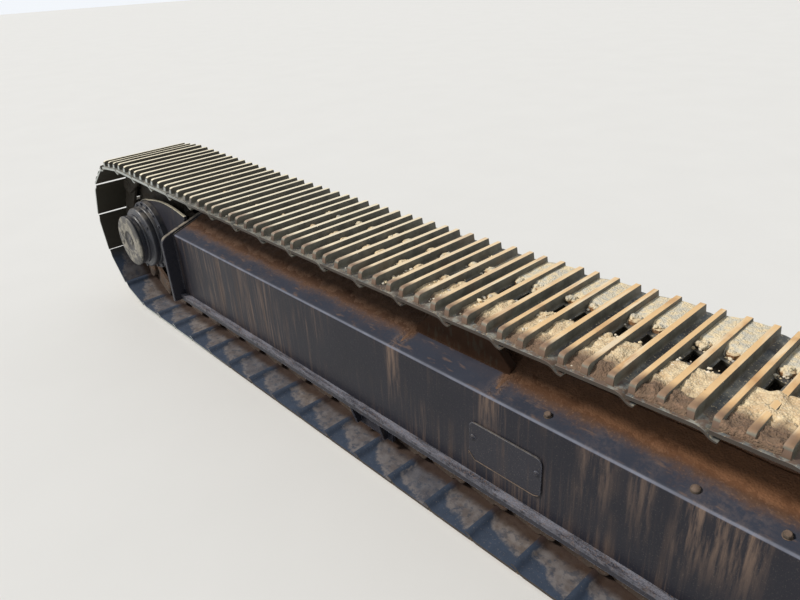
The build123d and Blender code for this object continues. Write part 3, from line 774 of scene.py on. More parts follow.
    # Painted shade: inner faces above the lower run turn near-black, with the lower run's own colours below.
    f.coat(inside, f.mix(low, look.bend, under))
    outside = 1.0 - inside
    # Outer edges: painted shade at the idler end and painted sunlight towards the drive end.
    edge = side.rise(0.2240, 0.2248) * (1.0 - facing) * outside
    f.coat(edge * 0.9, f.mix(sunlit_drive_end, look.bar_end, look.painted_sunlit_rim))
    # Painted shadow: near-black walls in the relief holes.
    f.coat(bar.rise(0.245, 0.190) * side.rise(0.050, 0.040) * outside * (1.0 - facing), look.bend)
    rough = 0.52 + f.noise(40.0) * 0.3
    return f.done(rough, 0.15, grain + drag * 0.5 + inside * tan * f.noise(60.0, 4.0), 0.0006, 0.4)


def drive_material(look):
    """Bluish satin paint on the drive, with pale edges of rubbed paint and painted highlight, and dust on
    what faces up.
    """
    f = Finish("drive_paint")
    f.base = f.mix(f.noise(12.0, 4.0), look.drive, scaled(look.drive, 1.6))
    dust = f.up.rise(0.10, 0.95) * f.noise(26.0, 4.0).rise(0.35, 0.70)
    # Pale edges: rubbed paint, and painted highlights on the chamfers.
    worn = f.edge(0.0025).rise(0.02, 0.16) * f.noise(40.0).rise(0.35, 0.60)
    f.coat(worn * 0.40, look.worn)
    f.coat(f.noise(220.0, 2.0).rise(0.60, 0.70) * 0.22, look.dust)
    f.coat(dust * 0.30, look.dust)
    return f.done(0.36 + dust * 0.4, 0.0, f.noise(100.0), 0.0004, 0.5)


def cover_material(look):
    """Dust-covered disc: beige grey, darker in its recess and round the plugs, a pale rim that is a painted
    highlight.
    """
    f = Finish("cover_paint")
    shift = f.node("ShaderNodeCombineXYZ", {}, {0: f.x + HALF_LENGTH, 1: 0.0, 2: f.z - AXIS_Z})
    radius = f.node("ShaderNodeVectorMath", {"operation": "LENGTH"}, {0: shift}, "Value")
    f.base = f.mix(f.noise(30.0, 4.0).rise(0.3, 0.7), look.cover, scaled(look.cover, 1.35))
    grime = (f.noise(26.0, 5.0, roughness=0.65) + radius.rise(0.070, 0.120) * 0.10).rise(0.48, 0.60)
    f.coat(grime * 0.72, look.drive)
    f.coat(f.noise(180.0, 2.0).rise(0.56, 0.68) * 0.5, look.drive)
    f.coat(radius.between(0.024, 0.050, 0.004) * 0.70, look.drive)
    f.coat(radius.rise(0.024, 0.021) * 0.35, look.drive)
    # Painted highlight: a pale line round the disc's rim.
    f.coat((f.edge(0.002).rise(0.03, 0.18)) * 0.45, look.dust)
    f.coat(f.part(f.facing, "Y").rise(-0.5, -0.2) * 0.85, look.drive)
    return f.done(0.6, 0.0, f.noise(120.0), 0.0004, 0.3)


def bolt_material(look, name, cake_colour, rust):
    """Bolts caked with dirt on top and rusty below."""
    f = Finish(name)
    f.base = f.mix(f.noise(60.0), look.flank, rust)
    cake = (f.noise(90.0, 4.0) * 0.6 + f.up * 0.4).rise(0.45, 0.75)
    f.coat(cake * 0.8, cake_colour)
    return f.done(0.8, 0.1, f.noise(160.0, 4.0), 0.001)


def rail_material(look):
    """Slide rails: sides darkened to near-black brown as painted shade, with brown dust, and tops rubbed
    bare by the links.
    """
    f = Finish("rail_steel")
    # Painted shade: a near-black brown base for the rails' sides.
    f.base = f.mix(f.noise(22.0, 4.0) * 0.3, (0.022, 0.009, 0.004), look.soil)
    f.coat(f.noise(60.0, 3.0, (1, 1, 0.3)).rise(0.52, 0.7) * 0.5, look.flank)
    rubbed = f.noise(80.0, 3.0, (0.1, 1, 1)).rise(0.25, 0.55)
    bare = f.up.rise(0.93, 0.98) * f.z.rise(0.580, 0.600) * rubbed
    f.coat(bare, (0.30, 0.29, 0.28))
    f.coat(f.edge(0.002).rise(0.03, 0.18) * 0.08, look.crust)
    return f.done(0.75 - bare * 0.35, 0.1, f.noise(100.0, 4.0), 0.0007, 0.12)


def metal_material(name, first, second, look, rough=0.6, metallic=0.4, shade_share=0.0):
    """Cast or rolled steel with brown dirt lying on what faces up and in patches, and with painted shade,
    near-black, laid above the lower run."""
    f = Finish(name)
    f.base = f.mix(f.noise(18.0, 4.0), first, second)
    dirt = (f.noise(28.0, 5.0) + f.up.rise(-0.2, 0.9) * 0.25).rise(0.5, 0.75)
    f.coat(dirt * 0.55, look.soil)
    f.coat(f.noise(150.0).rise(0.58, 0.7) * 0.25, look.dust)
    # Painted shade: near-black laid over the steel above the lower run.
    f.coat(f.z.rise(0.20, 0.32) * shade_share, look.bend)
    return f.done(rough + dirt * 0.25, metallic, f.noise(110.0, 4.0) + dirt, 0.0008)


def soil_material(look):
    """Dry sandy soil: pale crumbs over a warmer ground."""
    f = Finish("dry_soil")
    grain = f.cells(210.0)
    f.base = f.mix(f.noise(40.0, 5.0).rise(0.32, 0.66), look.soil_dark, look.soil_pale)
    f.coat(grain.rise(0.25, 0.6) * 0.35, look.soil_dark)
    f.coat(f.noise(230.0, 2.0).rise(0.56, 0.68) * 0.55, look.stone)
    across = f.y - CHAIN_Y + f.noise(16.0, 4.0) * 0.08
    packed = (f.y - CHAIN_Y).rise(0.000, 0.060)
    f.coat(packed * 0.75, f.mix(f.noise(60.0, 4.0).rise(0.35, 0.65), look.deposit, look.soil_pale))
    clods = f.mix(f.noise(70.0, 5.0).rise(0.50, 0.66) * 0.6, look.clod_and_shadow, scaled(look.clod_and_shadow, 2.2))
    # Brown clods towards the outer side: partly real clods and partly painted shadow.
    outer = across.rise(-0.100, -0.140)
    f.coat(outer * 0.92, clods)
    return f.done(0.95, 0.0, grain * -1.0 + f.noise(120.0, 5.0) * (1.5 + outer * 1.5), 0.0025)


def stone_material(look):
    """Loose crushed stones in pale, warm and grey tones."""
    f = Finish("loose_stones")
    tone = f.mark("tone")
    f.base = f.mix(tone.rise(0.0, 0.7), look.soil_pale, look.stone)
    f.coat(tone.rise(0.75, 0.95) * 0.7, (0.34, 0.32, 0.30))
    f.coat(f.noise(150.0).rise(0.4, 0.7) * 0.3, look.soil_dark)
    return f.done(0.85, 0.0, f.noise(220.0), 0.0008)


def roof_soil_material(look):
    """Red-brown soil in the shade under the chain, lighter at the idler end as painted light, with a pinkish
    crust where it thins out.
    """
    f = Finish("roof_soil")
    across = abs(f.y - CHAIN_Y)
    f.base = f.mix(f.noise(30.0, 5.0).rise(0.35, 0.66), look.soil_deep, look.soil)
    # Painted light: lighter soil at the idler end, where the chain shades the roof.
    f.coat(f.x.rise(0.20, 1.30) * across.rise(0.098, 0.072) * 0.9, look.shade_lifted_soil)
    pale = (f.noise(90.0, 5.0) * 0.7 + across.rise(0.06, 0.13) * 0.4).rise(0.55, 0.85)
    f.coat(pale * 0.5, look.crust)
    return f.done(0.95, 0.0, f.noise(110.0, 5.0) + f.cells(180.0) * -0.7, 0.002)


def tint(name, description, *default):
    """A colour setting."""
    return FloatVectorProperty(name=name, description=description, default=default, subtype="COLOR")


class TrackUnitLook(bpy.types.PropertyGroup):
    """Colours of the track unit's finishes."""

    paint: tint("Paint", "Frame and plate paint", 0.018, 0.018, 0.024)
    # Painted reflection: the sky's blue on the roof by the fold.
    sheen: tint("Roof sheen", "Sky-blue dust film on the roof by the fold", 0.056, 0.064, 0.09)
    # Rubbed paint, and also the painted highlights on edges and along the frame's fold.
    worn: tint("Worn edges", "Rubbed paint edges", 0.3, 0.32, 0.4)
    drive: tint("Drive paint", "Final drive and motor", 0.027, 0.029, 0.037)
    dust: tint("Dust", "Dry dust on everything", 0.42, 0.36, 0.28)
    streak: tint("Pale streaks", "Dried runs down the walls", 0.19, 0.13, 0.096)
    rust_dust: tint("Rusty dust", "Streaks down the plates", 0.11, 0.075, 0.055)
    flange_dust: tint("Flange dust", "Grainy dust on the bent flange", 0.235, 0.235, 0.275)
    soil: tint("Soil", "Red-brown soil in the shade", 0.12, 0.062, 0.034)
    soil_deep: tint("Deep soil", "Darkest soil", 0.078, 0.036, 0.016)
    # Painted light: lighter soil laid where the chain shades the roof at the idler end.
    shade_lifted_soil: tint("Soil, idler end", "Loose soil in the shade", 0.23, 0.102, 0.045)
    crust: tint("Soil crust", "Dry pinkish crust on the roof", 0.25, 0.155, 0.105)
    soil_pale: tint("Pale soil", "Dry soil on the shoes", 0.88, 0.72, 0.46)
    # Brown of clods and mud, and also painted shadow on the shoes' outer ends and bar ends.
    clod_and_shadow: tint("Clods", "Brown clods at the shoes' outer ends", 0.13, 0.076, 0.05)
    soil_dark: tint("Dark soil", "Damp parts of the soil", 0.6, 0.43, 0.25)
    stone: tint("Stone", "Crushed stone", 0.82, 0.74, 0.6)
    bar_far: tint("Bar tops, drive end", "Rubbed bar tops", 0.9, 0.81, 0.61)
    bar_near: tint("Bar tops, idler end", "Rubbed bar tops", 0.78, 0.52, 0.26)
    bar_rust: tint("Bar rust", "Rust on the bar tops", 0.46, 0.22, 0.085)
    # Dark colour of stains on the plates, and also painted shade on the plates' outer edges at the idler
    # end.
    bar_end: tint("Bar ends", "Red-brown ends of the bars", 0.034, 0.024, 0.019)
    flank: tint("Bar flanks", "Sides of the bars", 0.048, 0.042, 0.031)
    plate: tint("Shoe plates", "Plates between the bars", 0.105, 0.118, 0.128)
    plate_dust: tint("Plate dust", "Dust on the plates", 0.42, 0.4, 0.335)
    under_steel: tint("Lower shoes", "Inner face of the lower run", 0.032, 0.044, 0.068)
    under_dust: tint("Lower dust", "Dust on the lower run", 0.15, 0.121, 0.106)
    under_pale: tint("Pale lower dust", "Dry dust on the lower run", 0.24, 0.212, 0.2)
    cover: tint("Drive cover", "Dusty end cover", 0.2, 0.185, 0.152)
    # Painted shade: near-black on the shoes' inner faces above the lower run, in the relief holes, and on
    # links and sprocket above the lower run.
    bend: tint("Bends", "Inner face of the shoes in the bends", 0.032, 0.028, 0.019)
    flank_near: tint("Bar flanks, idler end", "Dusty sides of the bars", 0.215, 0.2, 0.155)
    # Painted sunlight on rims, plate edges and bar ends towards the drive end.
    painted_sunlit_rim: tint("Rims, drive end", "Rubbed rims and bar ends", 0.4, 0.42, 0.4)
    deposit: tint("Packed dust", "Pale dust packed between the bars on the chassis side", 0.56, 0.56, 0.5)


class TrackUnitDetail(bpy.types.PropertyGroup):
    """Measures and seeds of the soil and stones."""

    soil_start: FloatProperty(
        name="Soil start", description="Where along the track soil begins to fill the shoes", default=-0.16,
        unit="LENGTH")
    soil_depth: FloatProperty(
        name="Soil depth", description="Greatest depth of soil on a shoe", default=0.0255, unit="LENGTH")
    soil_seed: IntProperty(name="Soil seed", description="Seed of the soil's shape", default=11)
    stone_count: IntProperty(name="Stones", description="Loose stones on the upper run", default=900)


class TrackUnitView(bpy.types.PropertyGroup):
    """The camera and the lamps."""

    place: FloatVectorProperty(
        name="Camera", description="Where the camera stands", default=(1.50164, -1.34388, 1.59327),
        subtype="TRANSLATION", unit="LENGTH")
    yaw: FloatProperty(
        name="Yaw", description="Heading from +X", default=2.4147665, subtype="ANGLE", unit="ROTATION")
    pitch: FloatProperty(
        name="Pitch", description="Elevation of the view", default=-0.4762911, subtype="ANGLE",
        unit="ROTATION")
    roll: FloatProperty(
        name="Roll", description="Turn about the view", default=-0.0604706, subtype="ANGLE", unit="ROTATION")
    focal_share: FloatProperty(
        name="Focal share", description="Focal length over the picture's width", default=0.834422)
    key: FloatProperty(name="Key lamp", description="Strength of the key lamp", default=3.1)
    sky: FloatProperty(name="Sky", description="Strength of the soft light", default=0.42)


def look():
    """The unit's colours."""
    return bpy.context.scene.track_unit_look


class TRACKUNIT_OT_shoes(bpy.types.Operator):
    """Track shoes with three bars, relief holes and an overlapping lip, level with the ground below"""

    bl_idname = "trackunit.shoes"
    bl_label = "Track shoes"

    def execute(self, context):
        one = shoe_shape()
        shape = one.placed(LINK_ORIGINS, LINK_TURNS)
        shape.points[:, 2] = np.maximum(shape.points[:, 2], 0.0)
        tone = np.random.default_rng(TONE_SEED).random(LINKS)
        marks = {"out_x": LINK_TURNS[:, 0, 2], "out_z": LINK_TURNS[:, 2, 2], "tone": tone}
        shape = shape.marked(**{name: np.repeat(values, len(one.points)) for name, values in marks.items()})
        piece("shoes", shape, shoe_material(look()), 40, ["track_shoes"])
        return {"FINISHED"}


def shoe_section():
    """The shoe's outline in (along, up from the plate's underside): first its top side with three bars
    and the lip, then its underside."""
    top = []
    for i in range(3):
        start = SHOE_START + i * GROUSER_SPACING
        if i > 0:
            top += [(start - 0.0075, PLATE), (start - 0.0042, 0.0108), (start - 0.0026, 0.0160)]
        crest = start - CREST_REACH if i > 0 else start
        top += [(crest, BAR_HEIGHT - 0.0014), (crest + 0.0010, BAR_HEIGHT)]
        top += [(start + 0.0140, BAR_HEIGHT), (start + 0.0150, BAR_HEIGHT - 0.0014)]
        top += [(start + 0.0162, 0.0160), (start + 0.0178, 0.0108), (start + 0.0205, PLATE)]
        if i < 2:
            top += [(start + HOLE_START, PLATE), (start + HOLE_END, PLATE)]
    top += [(0.0640, 0.0086), (0.0730, 0.0064), (0.0800, 0.0030), (0.0850, -0.0012), (0.0895, -0.0052)]
    top += [(0.0945, -0.0082), (0.1010, -0.0103), (0.1080, -0.0112)]
    bottom = [(0.1072, -0.0152), (0.0990, -0.0144), (0.0925, -0.0120), (0.0865, -0.0080), (0.0810, -0.0040)]
    bottom += [(0.0735, -0.0008), (0.0640, 0.0)]
    for start in (SHOE_START + GROUSER_SPACING, SHOE_START):
        bottom += [(start + HOLE_END, 0.0), (start + HOLE_START, 0.0)]
    bottom.append((SHOE_START, 0.0))
    return np.array(top), np.array(bottom)


def shoe_shape():
    """One shoe: its section carried across the track. The bars are worn down over their outer 13 mm and
    sink to the plate at both ends. The faces over each relief hole are left out, and walls join its rims."""
    top, bottom = shoe_section()
    section = np.concatenate([top, bottom])
    is_top = np.arange(len(section)) < len(top)
    bar_end = HALF_SHOE - BAR_STOP
    across = np.array([-HALF_SHOE, -bar_end, -bar_end + 0.003, -0.2085, -0.200, -0.12, -HOLE_HALF, HOLE_HALF,
                       0.12, bar_end - 0.003, bar_end, HALF_SHOE])
    left, right = 6, 7
    grid = np.zeros((len(across), len(section), 3))
    grid[..., 0] = section[:, 0]
    grid[..., 1] = across[:, None]
    stub = np.abs(across) > bar_end - 1e-6
    worn = np.interp(across, [-bar_end + 0.003, -0.2085, -0.200], [0.70, 0.92, 1.0])
    limit = PLATE + (BAR_HEIGHT - PLATE) * worn * ~stub
    grid[..., 2] = np.where(is_top, np.minimum(section[:, 1], limit[:, None]), section[:, 1])
    bar = np.where(is_top, section[:, 1], 0.0)[None] * ~stub[:, None] / BAR_HEIGHT
    body = tube(grid)
    quads = body.faces[4]
    walls = []
    for start in (SHOE_START, SHOE_START + GROUSER_SPACING):
        corners = ((HOLE_START, True), (HOLE_END, True), (HOLE_END, False), (HOLE_START, False))
        pick = [int(np.argmin(np.abs(section[:, 0] - start - x) + 10 * (is_top != above)))
                for x, above in corners]
        near, far = ([ring * len(section) + j for j in pick] for ring in (left, right))
        body.points[near[1:3], 1] += HOLE_TAPER
        body.points[far[1:3], 1] -= HOLE_TAPER
        for first, second in ((0, 1), (2, 3)):
            gone = [near[first], near[second], far[first], far[second]]
            quads = quads[~np.isin(quads, gone).all(1)]
        walls += [[near[i], far[i], far[j], near[j]] for i, j in ((1, 2), (3, 0))]
        walls += [[near[0], near[3], near[2], near[1]], far]
    lifted = body.points + np.array([0, 0, FACE_TO_PIN])
    marks = {"bar": bar.ravel(), "along": lifted[:, 0], "across": lifted[:, 1]}
    return Shape(lifted, {**body.faces, 4: np.concatenate([quads, np.array(walls)])}, marks)


def on_axis(shape, x=-HALF_LENGTH):
    """A shape about Z set on the drive's axis, or on one at another x, its Z towards the outer side."""
    return shape.moved((x, CHAIN_Y, AXIS_Z), OUTWARD)


class TRACKUNIT_OT_bolts(bpy.types.Operator):
    """Four bolts on every shoe"""

    bl_idname = "trackunit.bolts"
    bl_label = "Shoe bolts"

    def execute(self, context):
        spots = [(SHOE_START + start, across, FACE_TO_PIN + PLATE - 0.0004)
                 for start in VALLEYS for across in (-LINK_GAUGE, LINK_GAUGE)]
        every = bolt_head(0.030, 0.012, 0.0, 6).placed(spots).placed(LINK_ORIGINS, LINK_TURNS)
        steel = bolt_material(look(), "shoe_bolt_steel", look().soil_pale, look().bar_rust)
        piece("shoe_bolts", every, steel, 30)
        return {"FINISHED"}


class TRACKUNIT_OT_links(bpy.types.Operator):
    """Slanted track links with round eyes and pin bosses, and the bushings between them"""

    bl_idname = "trackunit.links"
    bl_label = "Track links"

    def execute(self, context):
        # The last number is the share of painted shade above the lower run.
        steel = metal_material("link_steel", (0.038, 0.030, 0.025), (0.095, 0.065, 0.046), look(),
                               0.7, 0.1, 0.8)
        for name, side in (("track_links_outer", -1), ("track_links_inner", 1)):
            shape = link_shape(side).placed(LINK_ORIGINS, LINK_TURNS)
            piece(name.replace("track_links", "links"), shape, steel, 35, [name])
        piece("bushings", bushing_shape().placed(PIN_ORIGINS, LINK_TURNS), steel, 35,
              ["track_bushings"])
        return {"FINISHED"}


def link_outline():
    """The link's side view: a pad for the shoe, a rail, a round eye at each end and a waist above it."""
    half = PITCH / 2
    outline = [(-0.051, 0.046), (-0.060, 0.037), (-half - 0.010, 0.030), (-half - 0.030, 0.012),
               (-half - 0.034, -0.006), (-half - 0.026, -0.030), (-half - 0.012, -0.042),
               (half + 0.012, -0.042), (half + 0.026, -0.030), (half + 0.034, -0.006),
               (half + 0.030, 0.012), (half + 0.010, 0.030), (0.060, 0.037), (0.051, 0.046)]
    return rounded(outline[::-1], 0.006, 3)


def link_shape(side):
    """One link: a bevelled plate slanted across the track, with a boss and a pin end at its outer eye."""
    half = LINK_THICKNESS / 2
    boss = lathe([(0.033, half - 0.004), (0.0315, half + 0.002), (0.029, half + 0.0032),
                  (0.0205, half + 0.0032), (0.0185, half + 0.0015), (0.0175, half + 0.0036),
                  (0.0150, half + 0.0044)], 16)
    body = joined([boss.moved((-PITCH / 2, 0, 0)), plate(link_outline(), -half, half, 0.0022)])
    points = body.points[:, [0, 2, 1]] * [1, side, 1]
    points[:, 1] += side * (LINK_GAUGE - LINK_SKEW * points[:, 0] / PITCH)
    return Shape(points, body.faces).outward()


def bushing_shape():
    """A hardened bushing across the track at a pin."""
    profile = [(0.020, -BUSHING_HALF), (BUSHING_RADIUS - 0.002, -BUSHING_HALF),
               (BUSHING_RADIUS, -BUSHING_HALF + 0.002), (BUSHING_RADIUS, BUSHING_HALF - 0.002),
               (BUSHING_RADIUS - 0.002, BUSHING_HALF), (0.020, BUSHING_HALF)]
    return lathe(profile, 18).moved(turn=OUTWARD)


class TRACKUNIT_OT_drive(bpy.types.Operator):
    """Sprocket, final drive, its end cover and the travel motor"""

    bl_idname = "trackunit.drive"
    bl_label = "Drive"

    def execute(self, context):
        colours = look()
        # The last number is the share of painted shade above the lower run.
        cast = metal_material("sprocket_steel", (0.05, 0.045, 0.04), (0.11, 0.09, 0.07), colours,
                              0.6, 0.2, 0.7)
        paint = drive_material(colours)
        piece("sprocket_wheel", on_axis(sprocket_shape()), cast, 30, ["sprocket"])
        piece("drive_housing", on_axis(housing_shape()), paint, 32, ["final_drive_housing"])
        piece("drive_cover", on_axis(cover_shape()), cover_material(colours), 30,
              ["final_drive_cover"])
        piece("motor", on_axis(motor_shape()), paint, 32, ["travel_motor"])
        return {"FINISHED"}


def sprocket_shape():
    """The toothed ring: round seats about the bushings' centres, flanks to narrow tips, a rim that
    thins towards the teeth, and twelve bolts."""
    seated = PINS[np.argmin(PINS[:, 0])]
    first = math.atan2(seated[1] - AXIS_Z, seated[0] + HALF_LENGTH)
    tooth = 2 * np.pi / SPROCKET_TEETH
    swing = np.radians(np.linspace(-66, 66, 9))
    seat = BUSHING_RADIUS + 0.0004
    tips = PITCH_RADIUS + np.array([0.0105, 0.012, 0.0105])
    radial = np.append(PITCH_RADIUS - seat * np.cos(swing), tips)
    flanks = np.arctan2(seat * np.sin(swing), radial[:9])
    angle = np.append(flanks, tooth / 2 + np.array([-0.026, 0.0, 0.026]))
    turns = first + np.arange(SPROCKET_TEETH) * tooth
    reach = np.tile(radial, SPROCKET_TEETH)
    rings = [(reach, -0.015), (reach, 0.015), (reach * 0.985, 0.0205), (0.262, 0.022), (0.210, 0.018),
             (0.165, 0.022), (0.118, 0.022), (0.118, -0.022), (0.165, -0.022), (0.210, -0.018),
             (0.262, -0.022), (reach * 0.985, -0.0205)]
    ring = ringed((turns[:, None] + angle[None]).ravel(), rings, closed=True)
    bolts = bolt_circle(0.138, 12, -0.022, bolt_head(0.024, 0.012, 0.002)).moved(turn=UPSIDE_DOWN)
    return joined([ring, bolts])


def housing_shape():
    """The final drive: hub and rim in the sprocket, a bolted flange, a stepped drum with two grooves
    and a ribbed neck behind the cover."""
    hub = [(0.004, -0.072), (0.1177, -0.072), (0.1177, 0.022), (0.150, 0.022), (0.150, 0.042),
           (0.1177, 0.042), (0.1177, 0.0903), (0.174, 0.0903), (0.174, 0.1163), (0.154, 0.1163),
           (0.152, 0.1190), (0.152, 0.1330), (0.149, 0.1345), (0.149, 0.1375), (0.152, 0.1390),
           (0.152, 0.1600), (0.1465, 0.1665), (0.140, 0.1665), (0.138, 0.1690), (0.126, 0.1690),
           (0.1245, 0.1710), (0.1245, 0.1820), (0.1195, 0.1835), (0.1195, 0.1900), (0.1245, 0.1915),
           (0.1245, 0.2068), (0.004, 0.2068)]
    body = lathe(softened(hub, 0.0012, 2), 96)
    rim = bolt_circle(0.163, 16, 0.1161, bolt_head(0.014, 0.006, 0.0012), 0.11)
    drum = bolt_circle(0.1435, 3, 0.1663, bolt_head(0.014, 0.005), 0.6)
    inner = bolt_circle(0.134, 16, 0.0418, bolt_head(0.024, 0.012, 0.002))
    return joined([body, rim, drum, inner])


def cover_shape():
    """The end cover: a bevelled disc with a dished recess, a centre plug and two level plugs."""
    disc = [(0.004, 0.2069), (0.1245, 0.2069), (0.127, 0.2090), (0.127, 0.2178), (0.1222, 0.2230),
            (0.0520, 0.2230), (0.0470, 0.2165), (0.0240, 0.2152), (0.0215, 0.2158), (0.0205, 0.2190),
            (0.0185, 0.2200), (0.0090, 0.2200), (0.0080, 0.2175), (0.002, 0.2172)]
    plug = lathe([(0.0125, 0.0), (0.0125, 0.0022), (0.0110, 0.0032), (0.0062, 0.0032), (0.0052, 0.0010),
                  (0.001, 0.0010)], 18)
    places = [(-0.077, 0.029, 0.2229), (-0.090, -0.025, 0.2229)]
    return joined([lathe(softened(disc, 0.0010, 2), 96), plug.placed(places)])


def motor_shape():
    """The travel motor: nose, bolted flange, ribbed body, cap with a bolt circle and two hose ports."""
    profile = [(0.004, -0.0723), (0.096, -0.0723), (0.096, -0.0903), (0.124, -0.0903), (0.124, -0.1103),
               (0.100, -0.1103)]
    for i in range(4):
        at = -0.128 - i * 0.022
        profile += [(0.100, at), (0.1035, at - 0.003), (0.1035, at - 0.009), (0.100, at - 0.012)]
    profile += [(0.100, -0.2140), (0.080, -0.2300), (0.080, -0.2790), (0.0745, -0.2845), (0.004, -0.2845)]
    body = lathe(softened(profile, 0.0015, 2), 72)
    flange = bolt_circle(0.113, 10, 0.1101, bolt_head(0.019, 0.010, 0.002)).moved(turn=UPSIDE_DOWN)
    cap = bolt_circle(0.089, 6, 0.2050, bolt_head(0.014, 0.014)).moved(turn=UPSIDE_DOWN)
    port = lathe([(0.019, 0.0), (0.019, 0.112), (0.0215, 0.113), (0.0215, 0.122), (0.0150, 0.123),
                  (0.0150, 0.131)], 20)
    return joined([body, flange, cap, port.placed([(-0.034, 0, -0.190), (0.034, 0, -0.190)], OUTWARD.T)])


class TRACKUNIT_OT_idler(bpy.types.Operator):
    """Idler wheel, axle and bearing blocks"""

    bl_idname = "trackunit.idler"
    bl_label = "Idler"

    def execute(self, context):
        cast = metal_material("cast_steel", (0.045, 0.042, 0.040), (0.11, 0.09, 0.075), look(), 0.6, 0.3)
        piece("idler_wheel", on_axis(idler_shape(), HALF_LENGTH), cast, 32, ["idler"])
        axle = lathe([(0.004, -0.145), (0.036, -0.145), (0.0397, -0.1415), (0.0397, 0.1415), (0.036, 0.145),
                      (0.012, 0.145), (0.010, 0.141), (0.004, 0.141)], 40)
        piece("idler_pin", on_axis(axle, HALF_LENGTH), cast, 30, ["idler_axle"])
        piece("idler_blocks", mirrored(block_shape()), cast, 30,
              ["idler_block_outer", "idler_block_inner"])
        return {"FINISHED"}


def idler_shape():
    """The idler: a centre flange, two dished treads with worn edges, a web and a long hub."""
    tread = PITCH_RADIUS * math.cos(2 * math.pi / SPROCKET_TEETH) - 0.042 - 0.0003
    half = [(0.040, 0.084), (0.066, 0.084), (0.072, 0.079), (0.078, 0.046), (0.096, 0.0385),
            (tread - 0.074, 0.0345), (tread - 0.050, 0.047), (tread - 0.024, 0.078), (tread - 0.005, 0.080),
            (tread, 0.076), (tread, 0.036), (tread + 0.003, 0.0315), (tread + 0.0155, 0.0265),
            (tread + 0.018, 0.0235)]
    half = softened(half, 0.002, 2)
    return lathe(np.concatenate([half, half[::-1] * [1, -1]]), 96, closed=True)


def block_shape():
    """The outer bearing block with its keeper plate and four bolts."""
    block = plate(rounded(rectangle(-0.070, 0.070, -0.0457, 0.0457), 0.004), 0.099, 0.129, 0.0015)
    keeper = plate(rounded(rectangle(-0.060, 0.060, -0.040, 0.040), 0.010), 0.1288, 0.1340, 0.0012)
    ring = lathe([(0.040, 0.1338), (0.048, 0.1338), (0.048, 0.1360), (0.046, 0.1375), (0.040, 0.1375)], 32,
                 closed=True)
    spots = [(x, z, 0.1338) for x in (-0.048, 0.048) for z in (-0.028, 0.028)]
    bolts = bolt_head(0.019, 0.009, 0.0018).placed(spots)
    return on_axis(joined([block, keeper, ring, bolts]), HALF_LENGTH)


class TRACKUNIT_OT_rollers(bpy.types.Operator):
    """Bottom rollers and the collars that hang them"""

    bl_idname = "trackunit.rollers"
    bl_label = "Bottom rollers"

    def execute(self, context):
        cast = metal_material("roller_steel", (0.045, 0.040, 0.036), (0.12, 0.085, 0.06), look(), 0.6, 0.3)
        places = [(x, CHAIN_Y, ROLLER_Z) for x in ROLLER_STATIONS]
        piece("rollers", roller_shape().placed(places, OUTWARD), cast, 32, ["bottom_rollers"])
        piece("roller_collars", mirrored(collar_shape().placed(places, OUTWARD)), cast, 32,
              ["roller_collars_outer", "roller_collars_inner"])
        return {"FINISHED"}


def roller_shape():
    """A double-tread roller: a groove in the middle, two treads and a flange at each end."""
    half = [(0.060, 0.0), (0.060, 0.029), (0.070, 0.036), (0.070, 0.0835), (0.0735, 0.0850),
            (0.0825, 0.0860), (0.084, 0.0880), (0.084, 0.0940), (0.0815, 0.0960), (0.030, 0.0960)]
    half = softened(half, 0.0012, 2)
    return lathe(np.concatenate([half[::-1] * [1, -1], half[1:]]), 56)


def collar_shape():
    """The outer collar: an upright bevelled block under the sole plate, with a shaft cap."""
    outline = rounded(rectangle(-0.040, 0.040, -0.034, SOLE_Z - ROLLER_Z), 0.012, 5)
    cap = lathe([(0.030, 0.1350), (0.029, 0.1392), (0.0265, 0.1405), (0.010, 0.1405), (0.008, 0.1385),
                 (0.002, 0.1385)], 28)
    return joined([plate(outline, 0.0963, 0.1363, 0.002), cap])


class TRACKUNIT_OT_plates(bpy.types.Operator):
    """End plate, cheeks round the drive and slide rails with worn tops"""

    bl_idname = "trackunit.plates"
    bl_label = "Plates and rails"

    def execute(self, context):
        colours = look()
        paint = paint_material(colours)
        piece("drive_end_plate", end_plate_shape(), paint, 30, ["end_plate"])
        # The cheeks' top edges take the pale bar-top colour: dust and painted sunlight.
        dusty = paint_material(colours, "cheek_paint", 2.4, colours.bar_far)
        for name, side, bore in (("cheek_outer", -1, 0.122), ("cheek_inner", 1, 0.098)):
            piece(name + "_plate", cheek_shape(side, bore), dusty, 30, [name])
        rails = mirrored(joined([rail_shape(), rail_beads()]))
        piece("top_rails", rails, rail_material(colours), 30, ["top_rails_idler_end"])
        return {"FINISHED"}


def end_plate_shape():
    """The plate across the drive end: gabled top, round shoulders and bevelled rims."""
    low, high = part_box("end_plate")
    half, top = 0.225, high.z
    edge = top - half * ROOF_RISE
    outline = [(-half, SOLE_Z), (half, SOLE_Z), (half, edge), (0.0, top), (-half, edge)]
    corners = rounded(np.array(outline), 0.004, 3)
    shoulders = rounded(np.array(outline), 0.034, 7)
    lows = corners[:, 1] < SOLE_Z + 0.02
    tops = shoulders[:, 1] > SOLE_Z + 0.05
    section = np.vstack([corners[lows], shoulders[tops]])
    centre = section.mean(0)
    section = section[np.argsort(np.arctan2(*(section - centre).T[::-1]))]
    along = np.array([[0, 0, 1.0], [1.0, 0, 0], [0, 1.0, 0]])
    return plate(section, 0.0, high.x - low.x, 0.0022).moved((low.x, CHAIN_Y, 0), along)


